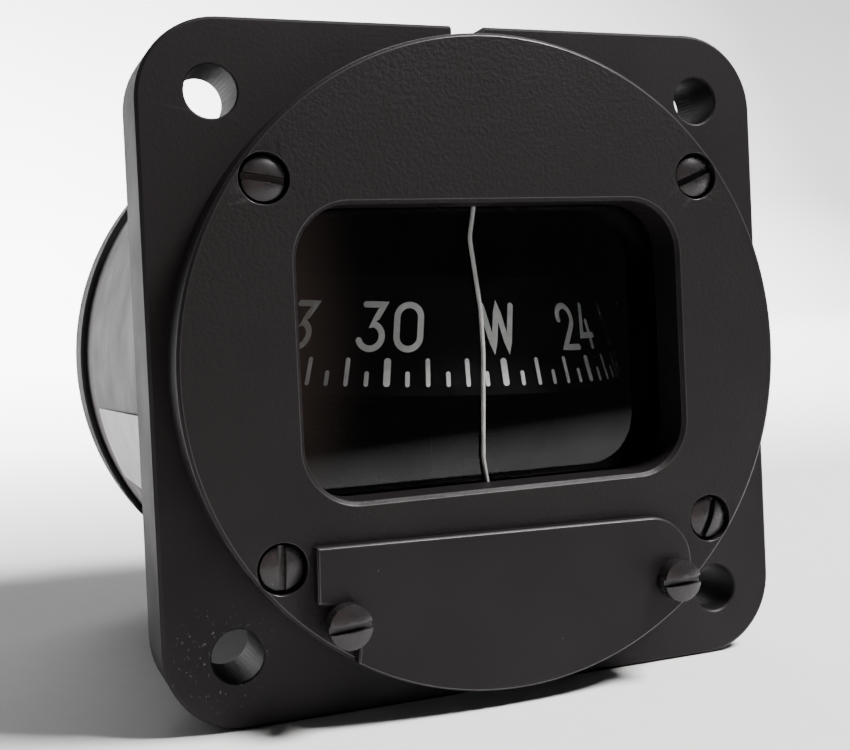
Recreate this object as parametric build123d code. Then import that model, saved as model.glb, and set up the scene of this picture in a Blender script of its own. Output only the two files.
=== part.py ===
from build123d import *
import math
import os

# A panel compass, in millimetres. X runs to the right seen from the front, +Y runs back into the
# instrument and +Z is up. The origin is the centre of the flange's front face, which bears on the
# back of the panel, so what passes through the panel has a negative Y.

# case: a square flange with a round bowl behind it, sized from the case's radius
case_radius = 29.65
case_wall = 3.65
flange_thickness = 7.5
flange_corner_radius = 7.2
mount_hole_offset = 4.01
mount_edge_distance = 6.35
mount_hole_radius = 2.27
mount_hole_chamfer = 0.3
notch_width = 3.3
notch_depth = 2.4
edge_break = 0.3
throat_step = 4.0
throat_length = 5.0
mouth_wall = 1.6
mouth_margin = 0.3
floor_rise = 11.8
floor_thickness = 2.0
floor_margin = 5.6

# bezel disc and window
bezel_setback = 1.075
bezel_thickness = 3.94
seat_land = 0.3
window_side_margin = 10.225
window_top_margin = 14.775
window_foot_margin = 3.4
window_corner_radius = 4.8
window_edge_break = 0.35
glass_overlap = 2.1
glass_thickness = 1.45
glass_clearance = 0.1
gasket_thickness = 0.8
gasket_setback = 0.5
wire_radius = 0.2
wire_play = 0.05
wire_grip = 1.2
wire_clearance = 0.46
wire_bend_radius = 3.0

# slotted screws
screw_radius = 1.0
screw_head_radius = 1.85
screw_head_height = 1.75
screw_dome = 0.4
screw_slot_width = 0.62
screw_slot_depth = 0.75
thread_clearance = 0.03
head_gap = 0.33
head_setback = 0.1
bezel_screw_inset = 2.45
bezel_screw_angle = 37.77
bezel_screw_length = 5.6

# cover plate over the adjusting shafts
cover_thickness = 1.17
cover_rise = 5.6
cover_left_margin = 1.85
cover_right_margin = 2.3
cover_corner_radius = 4.2
cover_gap = 0.02
cover_screw_inset = 2.375
cover_screw_angle = 52.91
cover_screw_cover = 0.85
cover_notch_radius = 1.45
cover_hole_clearance = 0.06

# rear cap, seal and expansion diaphragm
cap_overhang = 1.0
cap_length = 6.8
cap_wall = 2.0
cap_chamber_step = 1.5
cap_edge_break = 0.5
cap_screw_count = 4
cap_screw_inset = 1.85
cap_screw_length = 9.2
cap_head_setback = 0.15
vent_radius = 0.75
vent_height = 12.0
seal_thickness = 0.5
seal_setback = 0.2
seal_rim = 0.55
diaphragm_thickness = 0.2
corrugation_count = 3
corrugation_height = 0.7
corrugation_pitch = 4.6
rim_clearance = 0.1

# filler plug on top of the bowl
filler_setback = 8.4
filler_seat_setback = 0.65
filler_seat_radius = 4.4
filler_thread_radius = 2.5
filler_head_radius = 3.4
filler_head_height = 1.1
filler_slot_width = 0.9
filler_slot_depth = 0.6
filler_washer_thickness = 0.4

# pivot, post and bracket; heights are counted from the pivot point
pivot_rise = 13.2
tip_radius = 0.25
tip_clearance = 0.03
pin_radius = 0.5
pin_neck_radius = 0.2
pin_taper_length = 1.1
collar_radius = 0.88
collar_height = 0.5
pin_tail_radius = 0.36
pin_tail_length = 1.6
post_radius = 1.5
post_bore_radius = 0.95
spring_space = 4.8
spring_wire_radius = 0.1
spring_turns = 4
post_cap_radius = 4.0
post_cap_thickness = 0.6
post_cap_top = -2.0
post_cap_plug_length = 0.6
post_shoulder_radius = 2.8
post_shoulder_height = 0.8
slide_clearance = 0.03
bracket_length = 20.0
bracket_width = 8.0
bracket_thickness = 1.2
bracket_screw_spacing = 13.0
bracket_screw_length = 3.6

# card; heights are counted from the pivot point along the card's own axis
card_heading = 278.6
card_pitch = 2.0
card_roll = 2.8
card_side_clearance = 3.05
card_front_clearance = 0.5
card_back_clearance = 1.05
dial_bottom = -1.6
dial_height = 11.0
dial_taper = 0.358
dial_thickness = 0.5
web_top = 3.5
web_thickness = 0.5
web_width = 5.35
spider_thickness = 0.4
spider_lap = 2.0
spider_ring_width = 1.9
spider_hub_radius = 8.0
spider_hole_radius = 2.4
spoke_width = 2.4
spoke_count = 4
rivet_radius = 0.45
rivet_head_radius = 0.85
rivet_head_height = 0.3
float_radius = 12.0
float_bottom = -3.2
float_rounding = 2.2
hub_skirt_inner_radius = 4.9
hub_skirt_wall = 0.7
hub_ceiling = 0.8
hub_wall = 0.8
jewel_boss_radius = 1.9
hub_nose_radius = 3.0
hub_nose_height = 2.6
jewel_radius = 1.1
jewel_height = 1.2
keeper_inner_radius = 3.7
keeper_thickness = 0.5
keeper_top = -3.6
magnet_radius = 1.1
magnet_length = 20.0
magnet_spacing = 14.0
magnet_drop = 1.9
carrier_length = 15.0
carrier_width = 17.0
carrier_corner_radius = 2.0
carrier_thickness = 0.6
clip_wall = 0.55
clip_length = 2.0
clip_spacing = 11.0
fit_clearance = 0.02

# compensator under the bowl, behind the bezel disc; places are counted from the flange's face
adjuster_drop = 4.2
access_clearance = 0.25
adjuster_head_radius = 2.35
adjuster_head_height = 2.4
adjuster_recess = 1.0
adjuster_slot_width = 0.7
adjuster_slot_depth = 0.9
shaft_radius = 0.9
shaft_gap = 2.14
washer_setback = 0.15
washer_thickness = 0.3
washer_land = 0.6
running_clearance = 0.03
pocket_wall = 3.15
pocket_side_clearance = 0.7
block_setback = 0.35
block_clearance = 0.15
front_plate = 1.5
front_bay_length = 7.4
middle_plate = 1.9
rear_bay_length = 8.0
rear_plate = 1.6
rear_plate_gap = 0.3
bay_side_wall = 1.2
gear_module = 0.4
pressure_angle = 20
spur_teeth = 16
spur_width = 1.6
spur_tip_share = 0.9
spur_root_share = 1.2
mitre_teeth = 12
mitre_face = 1.1
mitre_tip_share = 0.7
mitre_root_share = 0.95
backlash = 0.06
bay_end_gap = 0.4
comp_magnet_radius = 0.7
comp_magnet_length = 6.0
magnet_holder_radius = 2.0
magnet_holder_length = 2.2
pinion_hub_radius = 1.6
idler_radius = 0.7
cross_pin_radius = 0.5

bowl_radius = case_radius - case_wall
throat_radius = bowl_radius - throat_step
mount_spacing = math.sqrt(2) * (case_radius + mount_hole_offset)
flange_width = mount_spacing + 2 * mount_edge_distance
bowl_floor_height = floor_rise - bowl_radius
pocket_top = bowl_floor_height - floor_thickness
pocket_radius = case_radius - pocket_wall
adjuster_z = pocket_top - adjuster_drop
spur_distance = gear_module * spur_teeth
spur_tip_radius = spur_distance / 2 + spur_tip_share * gear_module
mitre_radius = gear_module * mitre_teeth / 2
adjuster_x = (spur_distance + spur_tip_radius + shaft_radius + shaft_gap) / 2
idler_x = adjuster_x - spur_distance
front_bay_reach = spur_distance / 2 + gear_module + bay_end_gap
rear_bay_reach = mitre_radius + magnet_holder_length + bay_end_gap
block_left = -adjuster_x - rear_bay_reach - bay_side_wall
block_right = adjuster_x + front_bay_reach + bay_side_wall
block_bottom = adjuster_z - adjuster_drop
pocket_half_width = pocket_side_clearance - block_left
access_hole_radius = adjuster_head_radius + access_clearance
washer_radius = adjuster_head_radius - washer_setback

bezel_radius = case_radius - bezel_setback
bezel_front = -seat_land - bezel_thickness
bezel_screw_circle = bezel_radius - bezel_screw_inset
bezel_screw_x = bezel_screw_circle * math.cos(math.radians(bezel_screw_angle))
bezel_screw_z = bezel_screw_circle * math.sin(math.radians(bezel_screw_angle))
cover_screw_circle = bezel_radius - cover_screw_inset
cover_screw_x = cover_screw_circle * math.cos(math.radians(cover_screw_angle))
cover_screw_z = -cover_screw_circle * math.sin(math.radians(cover_screw_angle))
cover_top = adjuster_z + cover_rise
cover_left = -cover_screw_x - cover_left_margin
cover_right = cover_screw_x + cover_right_margin
cover_back = bezel_front - cover_gap
cover_front = cover_back - cover_thickness
cover_screw_length = cover_gap - cover_front - cover_screw_cover
window_top = bezel_radius - window_top_margin
window_bottom = cover_top + window_foot_margin
window_width = 2 * (bezel_radius - window_side_margin)
window_height = window_top - window_bottom
window_height_centre = (window_top + window_bottom) / 2
counterbore_radius = screw_head_radius + head_gap
counterbore_depth = screw_head_height + head_setback
cap_counterbore_depth = screw_head_height + cap_head_setback

glass_front = gasket_thickness - seat_land
glass_seat = glass_front + glass_thickness
wire_depth = glass_front - wire_radius - wire_play
bowl_front = glass_seat + mouth_wall
throat_back = bowl_front + throat_length
dial_bottom_radius = bowl_radius - card_side_clearance
web_inner_radius = dial_bottom_radius - web_width
spider_radius = web_inner_radius + spider_lap
pivot_depth = glass_seat + card_front_clearance + dial_bottom_radius
pivot_height = bowl_floor_height + pivot_rise
floor_length = pivot_depth + floor_margin
case_length = pivot_depth + dial_bottom_radius + card_back_clearance
pocket_depth = block_setback + front_plate + front_bay_length + middle_plate + rear_bay_length + rear_plate
cap_radius = case_radius + cap_overhang
cap_chamber_radius = bowl_radius - cap_chamber_step
cap_screw_circle = case_radius - cap_screw_inset
cap_recess = seal_thickness + diaphragm_thickness
seal_outer_radius = case_radius - seal_rim
filler_depth = case_length - filler_setback
filler_seat_height = case_radius - filler_seat_setback
filler_reach = filler_seat_height + filler_washer_thickness - bowl_radius
hub_skirt_radius = hub_skirt_inner_radius + hub_skirt_wall
hub_bottom = keeper_top - keeper_thickness
magnet_height = float_bottom - carrier_thickness - magnet_drop
front_bay = block_setback + front_plate
front_bay_back = front_bay + front_bay_length
rear_bay = front_bay_back + middle_plate
rear_bay_back = rear_bay + rear_bay_length
cross_depth = rear_bay + rear_bay_length / 2
shaft_socket = middle_plate / 2
pivot = Pos(0, pivot_depth, pivot_height)
card_place = pivot * Rot(card_pitch, 0, 0) * Rot(0, card_roll, 0) * Rot(0, 0, 180 + card_heading)


def slab(outline, front, back):
    """An outline drawn in X and Z, made solid from one Y to another."""
    return extrude(Plane.XZ.offset(-back) * outline, back - front)


def rod(x, z, radius, front, back):
    return slab(Pos(x, z) * Circle(radius), front, back)


def pillar(radius, bottom, top):
    return extrude(Pos(0, 0, bottom) * Circle(radius), top - bottom)


def turned_upright(points):
    """A profile of radius and height, turned about the Z axis."""
    return revolve(Plane.XZ * make_face(Polyline(*points, close=True)), Axis.Z)


def turned_lengthwise(points):
    """A profile of radius and depth, turned about the Y axis."""
    return revolve(make_face(Polyline(*points, close=True)), Axis.Y)


def window_outline(margin):
    width = window_width + 2 * margin
    height = window_height + 2 * margin
    outline = RectangleRounded(width, height, window_corner_radius + margin)
    return Pos(0, window_height_centre) * outline


def corners(x, z):
    return [(-x, z), (x, z), (-x, -z), (x, -z)]


def ring_places(count, radius):
    """Places spread evenly on a circle, half a step round from the top."""
    step = 2 * math.pi / count
    return [(radius * math.sin((i + 0.5) * step), radius * math.cos((i + 0.5) * step)) for i in range(count)]


def slotted_screw(length, slot_angle):
    """A domed cheese-head screw along +Y, its head's underside at Y = 0."""
    front = -screw_head_height
    shoulder = front + screw_dome
    dome_radius = (screw_head_radius**2 + screw_dome**2) / (2 * screw_dome)
    middle = screw_head_radius / 2
    middle_depth = front + dome_radius - math.sqrt(dome_radius**2 - middle**2)
    dome = ThreePointArc((0, front), (middle, middle_depth), (screw_head_radius, shoulder))
    sides = Polyline(
        (screw_head_radius, shoulder),
        (screw_head_radius, 0),
        (screw_radius, 0),
        (screw_radius, length - edge_break),
        (screw_radius - edge_break, length),
        (0, length),
        (0, front),
    )
    body = revolve(make_face([dome, *sides.edges()]), Axis.Y)
    slot = Pos(0, front, 0) * Box(3 * screw_head_radius, 2 * screw_slot_depth, screw_slot_width)
    return body - Rot(0, -slot_angle, 0) * slot


def spur_outline(teeth, thinning, tip_share, root_share):
    """The outline of a straight-toothed wheel with involute flanks, one tooth on +X."""
    pitch_radius = gear_module * teeth / 2
    base_radius = pitch_radius * math.cos(math.radians(pressure_angle))
    tip = pitch_radius + tip_share * gear_module
    root = pitch_radius - root_share * gear_module

    def involute(radius):
        angle = math.acos(min(1, base_radius / radius))
        return math.tan(angle) - angle

    pitch_half_angle = math.pi / (2 * teeth) - thinning / (2 * pitch_radius)
    points = []
    for i in range(teeth):
        middle = 2 * math.pi * i / teeth
        flank = []
        for radius in (root, max(root + 0.01, base_radius), pitch_radius, tip):
            half = pitch_half_angle + involute(pitch_radius) - involute(radius)
            flank.append((radius, half))
        sides = [(r, -half) for r, half in flank] + [(r, half) for r, half in reversed(flank)]
        points += [(r * math.cos(middle + a), r * math.sin(middle + a)) for r, a in sides]
    return make_face(Polyline(*points, close=True))


def mitre_gear():
    """A mitre gear's toothed cone about Z, its apex at the origin and its wide end at the top."""
    outline = spur_outline(mitre_teeth, 2 * backlash, mitre_tip_share, mitre_root_share)
    narrow = (mitre_radius - mitre_face) / mitre_radius
    wide_end = Pos(0, 0, mitre_radius) * outline
    narrow_end = Pos(0, 0, mitre_radius * narrow) * scale(outline, narrow)
    return loft([narrow_end.face(), wide_end.face()], ruled=True)


def bowl_outline(radius):
    """A circle with its foot cut off level by the bowl's floor."""
    below = Pos(0, bowl_floor_height - radius) * Rectangle(2 * radius, 2 * radius)
    return Circle(radius) - below


def make_case():
    half = flange_width / 2
    flange = slab(RectangleRounded(flange_width, flange_width, flange_corner_radius), 0, flange_thickness)
    outline = flange.faces().sort_by(Axis.Y)[0].edges() + flange.faces().sort_by(Axis.Y)[-1].edges()
    flange = chamfer(outline, edge_break)
    notch = Pos(0, half) * Rectangle(notch_width, 2 * notch_depth)
    flange -= slab(notch, -1, flange_thickness + 1)
    for x, z in corners(mount_spacing / 2, mount_spacing / 2):
        hole = rod(x, z, mount_hole_radius, -1, flange_thickness + 1)
        wide = mount_hole_radius + mount_hole_chamfer
        mouth = [(0, 0), (wide, 0), (mount_hole_radius, mount_hole_chamfer), (0, mount_hole_chamfer)]
        flange -= hole + Pos(x, 0, z) * turned_lengthwise(mouth)
    case = flange + rod(0, 0, case_radius, 1, case_length) + rod(0, 0, bezel_radius, -seat_land, 0)
    case -= slab(window_outline(glass_overlap + glass_clearance), -1, glass_seat)
    case -= slab(window_outline(mouth_margin), glass_seat - 1, bowl_front + 1)
    case -= slab(bowl_outline(throat_radius), bowl_front, throat_back + 1)
    case -= slab(bowl_outline(bowl_radius), throat_back, case_length + 1)
    case -= rod(0, 0, bowl_radius, floor_length, case_length + 1)
    pocket = Circle(pocket_radius) & Pos(0, pocket_top - pocket_radius) * Rectangle(
        2 * pocket_half_width, 2 * pocket_radius
    )
    case -= slab(pocket, -1, pocket_depth + rear_plate_gap)
    for x, z in corners(bezel_screw_x, bezel_screw_z):
        tip = bezel_front + counterbore_depth + bezel_screw_length
        case -= rod(x, z, screw_radius + thread_clearance, -1, tip + thread_clearance)
    for x, z in ring_places(cap_screw_count, cap_screw_circle):
        tip = case_length + cap_length - cap_counterbore_depth - cap_screw_length
        case -= rod(x, z, screw_radius + thread_clearance, tip - thread_clearance, case_length + 1)
    for side in (-1, 1):
        place = Pos(side * bracket_screw_spacing / 2, pivot_depth, bowl_floor_height)
        depth = bracket_screw_length - bracket_thickness + thread_clearance
        case -= place * pillar(screw_radius + thread_clearance, -depth, 1)
    filler = pillar(filler_seat_radius, filler_seat_height, case_radius + 1)
    filler += pillar(filler_thread_radius + thread_clearance, bowl_radius - 2, case_radius)
    return case - Pos(0, filler_depth, 0) * filler


def make_bezel():
    disc = rod(0, 0, bezel_radius, bezel_front, -seat_land) - slab(window_outline(0), bezel_front - 1, 1)
    front = disc.faces().sort_by(Axis.Y)[0]
    rim = front.outer_wire().edges()
    disc = chamfer(rim, edge_break)
    window_edges = disc.faces().sort_by(Axis.Y)[0].inner_wires()[0].edges()
    disc = chamfer(window_edges, window_edge_break)
    for x, z in corners(bezel_screw_x, bezel_screw_z):
        disc -= rod(x, z, screw_radius + thread_clearance, bezel_front - 1, 1)
        disc -= rod(x, z, counterbore_radius, bezel_front - 1, bezel_front + counterbore_depth)
    for side in (-1, 1):
        disc -= rod(side * cover_screw_x, cover_screw_z, screw_radius + thread_clearance, bezel_front - 1, 1)
        disc -= rod(side * adjuster_x, adjuster_z, access_hole_radius, bezel_front - 1, 1)
    return disc


def make_bezel_screws():
    angles = (-7, 18, 84, 67)
    seat = bezel_front + counterbore_depth
    places = corners(bezel_screw_x, bezel_screw_z)
    screws = [Pos(x, seat, z) * slotted_screw(bezel_screw_length, a) for (x, z), a in zip(places, angles)]
    return Compound(screws)


def make_window_glass():
    return slab(window_outline(glass_overlap), glass_front, glass_seat)


def make_glass_gasket():
    ring = window_outline(glass_overlap) - window_outline(gasket_setback)
    slot_width = 2 * (wire_radius + wire_clearance)
    slot_height = window_height + 2 * (wire_grip + wire_clearance)
    ring -= Pos(0, window_height_centre) * Rectangle(slot_width, slot_height)
    return slab(ring, -seat_land, glass_front)


def make_lubber_wire():
    """A fine wire down the middle of the window, bent a little by hand, its ends under the bezel."""
    shares = [(-0.15, 0), (-0.66, 0.11), (0.12, 0.37), (0.2, 0.52), (-0.28, 0.91), (0.04, 1)]
    bends = [(x, window_top - share * window_height) for x, share in shares]
    route = [(0, window_top + wire_grip)] + bends + [(0.14, window_bottom - wire_grip)]
    path = Plane.XZ.offset(-wire_depth) * FilletPolyline(*route, radius=wire_bend_radius)
    section = Plane(path @ 0, z_dir=path % 0) * Circle(wire_radius)
    return sweep(section, path)


def make_cover_plate():
    width = cover_right - cover_left
    middle = (cover_right + cover_left) / 2
    plate = Pos(middle, cover_top - bezel_radius) * Rectangle(width, 2 * bezel_radius)
    plate = fillet(plate.vertices().sort_by(Axis.Y)[-2:].sort_by(Axis.X)[-1], cover_corner_radius)
    plate &= Circle(bezel_radius)
    foot = Rectangle(2 * bezel_radius, 2 * bezel_radius)
    notch = Circle(cover_notch_radius)
    notch += Pos(cover_notch_radius - bezel_radius, -bezel_radius) * foot
    notch += Pos(-bezel_radius, cover_notch_radius - bezel_radius) * foot
    plate -= Pos(-cover_screw_x, cover_screw_z) * notch
    plate -= Pos(cover_screw_x, cover_screw_z) * Circle(screw_radius + cover_hole_clearance)
    solid = slab(plate, cover_front, cover_back)
    front_edges = solid.faces().sort_by(Axis.Y)[0].outer_wire().edges()
    return chamfer(front_edges, edge_break / 2)


def make_cover_screw(side, slot_angle):
    place = Pos(side * cover_screw_x, cover_front - cover_gap, cover_screw_z)
    return place * slotted_screw(cover_screw_length, slot_angle)


def make_rear_cap():
    back = case_length + cap_length
    ledge = case_length + cap_recess
    cap = turned_lengthwise(
        [
            (0, back - cap_wall),
            (cap_chamber_radius, back - cap_wall),
            (cap_chamber_radius, ledge),
            (seal_outer_radius + rim_clearance, ledge),
            (seal_outer_radius + rim_clearance, case_length),
            (cap_radius - edge_break, case_length),
            (cap_radius, case_length + edge_break),
            (cap_radius, back - cap_edge_break),
            (cap_radius - cap_edge_break, back),
            (0, back),
        ]
    )
    for x, z in ring_places(cap_screw_count, cap_screw_circle):
        cap -= rod(x, z, screw_radius + thread_clearance, case_length, back + 1)
        cap -= rod(x, z, counterbore_radius, back - cap_counterbore_depth, back + 1)
    return cap - rod(0, vent_height, vent_radius, case_length, back + 1)


def make_cap_screws():
    seat = case_length + cap_length - cap_counterbore_depth
    screws = []
    for i, (x, z) in enumerate(ring_places(cap_screw_count, cap_screw_circle)):
        screws.append(Pos(x, seat, z) * Rot(0, 0, 180) * slotted_screw(cap_screw_length, 25 + 53 * i))
    return Compound(screws)


def cap_screw_clearances(front, back):
    places = ring_places(cap_screw_count, cap_screw_circle)
    return [rod(x, z, screw_radius + rim_clearance, front - 1, back + 1) for x, z in places]


def make_cap_seal():
    back = case_length + seal_thickness
    ring = slab(Circle(seal_outer_radius) - Circle(bowl_radius + seal_setback), case_length, back)
    return ring - cap_screw_clearances(case_length, back)


def make_diaphragm():
    """A thin disc with pressed rings that let it breathe, clamped at its rim."""
    front = case_length + seal_thickness
    crests = []
    radius = cap_chamber_radius - corrugation_pitch / 2
    for i in range(corrugation_count):
        outer = radius - i * corrugation_pitch
        flat = corrugation_pitch / 5
        slope = 1.5 * flat
        crests += [
            (outer, front),
            (outer - slope, front + corrugation_height),
            (outer - slope - flat, front + corrugation_height),
            (outer - 2 * slope - flat, front),
        ]
    middle = [(seal_outer_radius, front)] + crests + [(0, front)]
    back = [(r, y + diaphragm_thickness) for r, y in reversed(middle)]
    return turned_lengthwise(middle + back) - cap_screw_clearances(front, front)


def make_filler_plug():
    seat = filler_seat_height + filler_washer_thickness
    plug = pillar(filler_head_radius, seat, seat + filler_head_height)
    plug = chamfer(plug.faces().sort_by(Axis.Z)[-1].edges(), edge_break)
    plug += pillar(filler_thread_radius, seat - filler_reach, seat)
    top = seat + filler_head_height
    slot = Pos(0, 0, top) * Box(3 * filler_head_radius, filler_slot_width, 2 * filler_slot_depth)
    return Pos(0, filler_depth, 0) * (plug - slot)


def make_filler_washer():
    washer = pillar(filler_head_radius, filler_seat_height, filler_seat_height + filler_washer_thickness)
    hole = pillar(filler_thread_radius + thread_clearance, filler_seat_height - 1, filler_seat_height + 1)
    return Pos(0, filler_depth, 0) * (washer - hole)


def make_post_bracket():
    outline = SlotOverall(bracket_length, bracket_width) - Circle(post_radius + fit_clearance)
    for side in (-1, 1):
        outline -= Pos(side * bracket_screw_spacing / 2, 0) * Circle(screw_radius + thread_clearance)
    plate = extrude(Pos(0, 0, bowl_floor_height) * outline, bracket_thickness)
    rim = plate.faces().sort_by(Axis.Z)[-1].outer_wire().edges()
    return Pos(0, pivot_depth, 0) * chamfer(rim, edge_break)


def make_bracket_screws():
    top = bowl_floor_height + bracket_thickness
    screws = []
    for side in (-1, 1):
        place = Pos(side * bracket_screw_spacing / 2, pivot_depth, top)
        screws.append(place * Rot(-90, 0, 0) * slotted_screw(bracket_screw_length, 30 * side))
    return Compound(screws)


def make_pivot_post():
    """A stem staked in the bracket, bored from the top for the spring and the pin's collar."""
    bottom = bowl_floor_height - pivot_height
    shoulder = bottom + bracket_thickness
    top = post_cap_top - post_cap_thickness
    bore_bottom = top - post_cap_plug_length - collar_height - spring_space
    post = turned_upright(
        [
            (0, bottom),
            (post_radius, bottom),
            (post_radius, shoulder),
            (post_shoulder_radius, shoulder),
            (post_shoulder_radius, shoulder + post_shoulder_height),
            (post_radius, shoulder + post_shoulder_height),
            (post_radius, top),
            (post_bore_radius, top),
            (post_bore_radius, bore_bottom),
            (0, bore_bottom),
        ]
    )
    return pivot * post


def make_post_cap():
    """A wide flange screwed into the post: it holds the pin down and the card's keeper in."""
    bottom = post_cap_top - post_cap_thickness
    cap = pillar(post_cap_radius, bottom, post_cap_top)
    cap += pillar(post_bore_radius - fit_clearance, bottom - post_cap_plug_length, bottom)
    return pivot * (cap - pillar(pin_radius + slide_clearance, bottom - 2, post_cap_top + 1))


def collar_top():
    return post_cap_top - post_cap_thickness - post_cap_plug_length


def make_pivot_pin():
    top = collar_top()
    neck = -math.sqrt((tip_radius + tip_clearance) ** 2 - pin_neck_radius**2)
    pin = turned_upright(
        [
            (0, neck),
            (pin_neck_radius, neck),
            (pin_radius, neck - pin_taper_length),
            (pin_radius, top),
            (collar_radius, top),
            (collar_radius, top - collar_height),
            (pin_tail_radius, top - collar_height),
            (pin_tail_radius, top - collar_height - pin_tail_length),
            (0, top - collar_height - pin_tail_length),
        ]
    )
    return pivot * (pin - Sphere(tip_radius + tip_clearance))


def make_pivot_tip():
    return pivot * Sphere(tip_radius)


def make_pivot_spring():
    """A round-wire coil under the pin's collar, which takes up shocks."""
    radius = post_bore_radius - spring_wire_radius - slide_clearance
    top = collar_top() - collar_height - spring_wire_radius - fit_clearance
    bottom = collar_top() - collar_height - spring_space + spring_wire_radius + fit_clearance
    path = Helix((top - bottom) / spring_turns, top - bottom, radius)
    section = Plane(path @ 0, z_dir=path % 0) * RegularPolygon(spring_wire_radius, 6)
    return pivot * Pos(0, 0, bottom) * sweep(section, path, is_frenet=True)


def make_jewel():
    """A cup jewel: a short sapphire cylinder with a round pit under its middle."""
    body = pillar(jewel_radius, 0, jewel_height)
    body = chamfer(body.faces().sort_by(Axis.Z)[-1].edges(), edge_break / 2)
    return card_place * (body - Sphere(tip_radius + tip_clearance))


def make_card_hub():
    """A turned hub: the jewel's seat in the middle and a skirt that drops over the post's cap."""
    hub = turned_upright(
        [
            (0, jewel_height + fit_clearance),
            (jewel_radius + fit_clearance, jewel_height + fit_clearance),
            (jewel_radius + fit_clearance, 0),
            (jewel_boss_radius, 0),
            (jewel_boss_radius, hub_ceiling),
            (hub_skirt_inner_radius, hub_ceiling),
            (hub_skirt_inner_radius, hub_bottom),
            (hub_skirt_radius, hub_bottom),
            (hub_skirt_radius, hub_ceiling + hub_wall),
            (hub_nose_radius, hub_ceiling + hub_wall),
            (hub_nose_radius, hub_nose_height),
            (0, hub_nose_height),
        ]
    )
    return card_place * hub


def make_keeper_ring():
    ring = Circle(hub_skirt_inner_radius - fit_clearance) - Circle(keeper_inner_radius)
    return card_place * extrude(Pos(0, 0, hub_bottom) * ring, keeper_thickness)


def make_card_float():
    """A sealed ring-shaped drum round the hub that carries most of the card's weight."""
    inner = hub_skirt_radius + fit_clearance
    drum = turned_upright(
        [(inner, float_bottom), (float_radius, float_bottom), (float_radius, web_top), (inner, web_top)]
    )
    rims = drum.edges().filter_by(GeomType.CIRCLE).group_by(lambda e: round(e.radius, 3))[-1]
    return card_place * fillet(rims, float_rounding)


def make_card_dial():
    """The cone that bears the scale, with a web turned in for the spider."""

    def outer(height):
        return dial_bottom_radius - (height - dial_bottom) * dial_taper

    top = dial_bottom + dial_height
    dial = turned_upright(
        [
            (outer(dial_bottom), dial_bottom),
            (outer(top), top),
            (outer(top) - dial_thickness, top),
            (outer(web_top) - dial_thickness, web_top),
            (web_inner_radius, web_top),
            (web_inner_radius, web_top - web_thickness),
            (outer(web_top - web_thickness) - dial_thickness, web_top - web_thickness),
            (outer(dial_bottom) - dial_thickness, dial_bottom),
        ]
    )
    for x, y in rivet_places():
        dial -= Pos(x, y, 0) * pillar(rivet_radius + fit_clearance, web_top - 1, web_top + 1)
    return card_place * dial


def rivet_places():
    return ring_places(spoke_count, (spider_radius + web_inner_radius) / 2)


def make_card_spider():
    """A stamped wheel that joins the float to the dial's web."""
    wheel = Circle(spider_radius) - Circle(spider_radius - spider_ring_width) + Circle(spider_hub_radius)
    for x, y in rivet_places():
        angle = math.degrees(math.atan2(y, x))
        length = spider_radius - spider_ring_width / 2
        wheel += Rot(0, 0, angle) * Pos(length / 2, 0) * Rectangle(length, spoke_width)
    wheel -= Circle(spider_hole_radius)
    for x, y in rivet_places():
        wheel -= Pos(x, y) * Circle(rivet_radius + fit_clearance)
    return card_place * extrude(Pos(0, 0, web_top) * wheel, spider_thickness)


def make_card_rivets():
    top = web_top + spider_thickness
    bottom = web_top - web_thickness
    rivet = pillar(rivet_radius, bottom, top) + pillar(rivet_head_radius, top, top + rivet_head_height)
    rivet += pillar(rivet_head_radius, bottom - rivet_head_height, bottom)
    return Compound([card_place * Pos(x, y, 0) * rivet for x, y in rivet_places()])


def make_magnet_carrier():
    """A plate under the float with four rings that grip the two magnets."""
    plate = RectangleRounded(carrier_length, carrier_width, carrier_corner_radius)
    plate -= Circle(hub_skirt_radius + fit_clearance)
    carrier = extrude(Pos(0, 0, float_bottom - carrier_thickness) * plate, carrier_thickness)
    outer = magnet_radius + clip_wall
    for side in (-1, 1):
        for end in (-1, 1):
            across = side * magnet_spacing / 2
            along = end * clip_spacing / 2
            height = float_bottom - carrier_thickness - magnet_height
            web = Pos(0, height / 2) * Rectangle(2 * outer, height)
            clip = slab(Circle(outer) + web, -clip_length / 2, clip_length / 2)
            clip -= rod(0, 0, magnet_radius + fit_clearance, -clip_length, clip_length)
            carrier += Pos(across, along, magnet_height) * clip
    return card_place * carrier


def make_card_magnets():
    magnet = rod(0, 0, magnet_radius, -magnet_length / 2, magnet_length / 2)
    places = [Pos(side * magnet_spacing / 2, 0, magnet_height) for side in (-1, 1)]
    return Compound([card_place * place * magnet for place in places])


def make_compensator_block():
    """One block with two bays, open at the top and bottom, for the two sets of gears."""
    top = pocket_top - block_clearance
    middle = Pos((block_left + block_right) / 2, (top + block_bottom) / 2)
    outline = middle * Rectangle(block_right - block_left, top - block_bottom)
    outline &= Circle(pocket_radius - block_clearance)
    block = slab(outline, block_setback, pocket_depth)
    left = idler_x - front_bay_reach
    right = adjuster_x + front_bay_reach
    front = Pos((left + right) / 2, adjuster_z) * Rectangle(right - left, 2 * pocket_radius)
    block -= slab(front, front_bay, front_bay_back)
    rear = Pos(-adjuster_x, adjuster_z) * Rectangle(2 * rear_bay_reach, 2 * pocket_radius)
    block -= slab(rear, rear_bay, rear_bay_back)
    block -= rod(adjuster_x, adjuster_z, shaft_radius + running_clearance, -1, front_bay_back + shaft_socket)
    block -= rod(idler_x, adjuster_z, idler_radius + thread_clearance, -1, front_bay_back + shaft_socket)
    block -= rod(-adjuster_x, adjuster_z, shaft_radius + running_clearance, -1, rear_bay + 1)
    half = rear_bay_reach + bay_side_wall
    pin = Rot(0, 90, 0) * pillar(cross_pin_radius + fit_clearance, -half - 1, half)
    return block - Pos(-adjuster_x, cross_depth, adjuster_z) * pin


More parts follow.
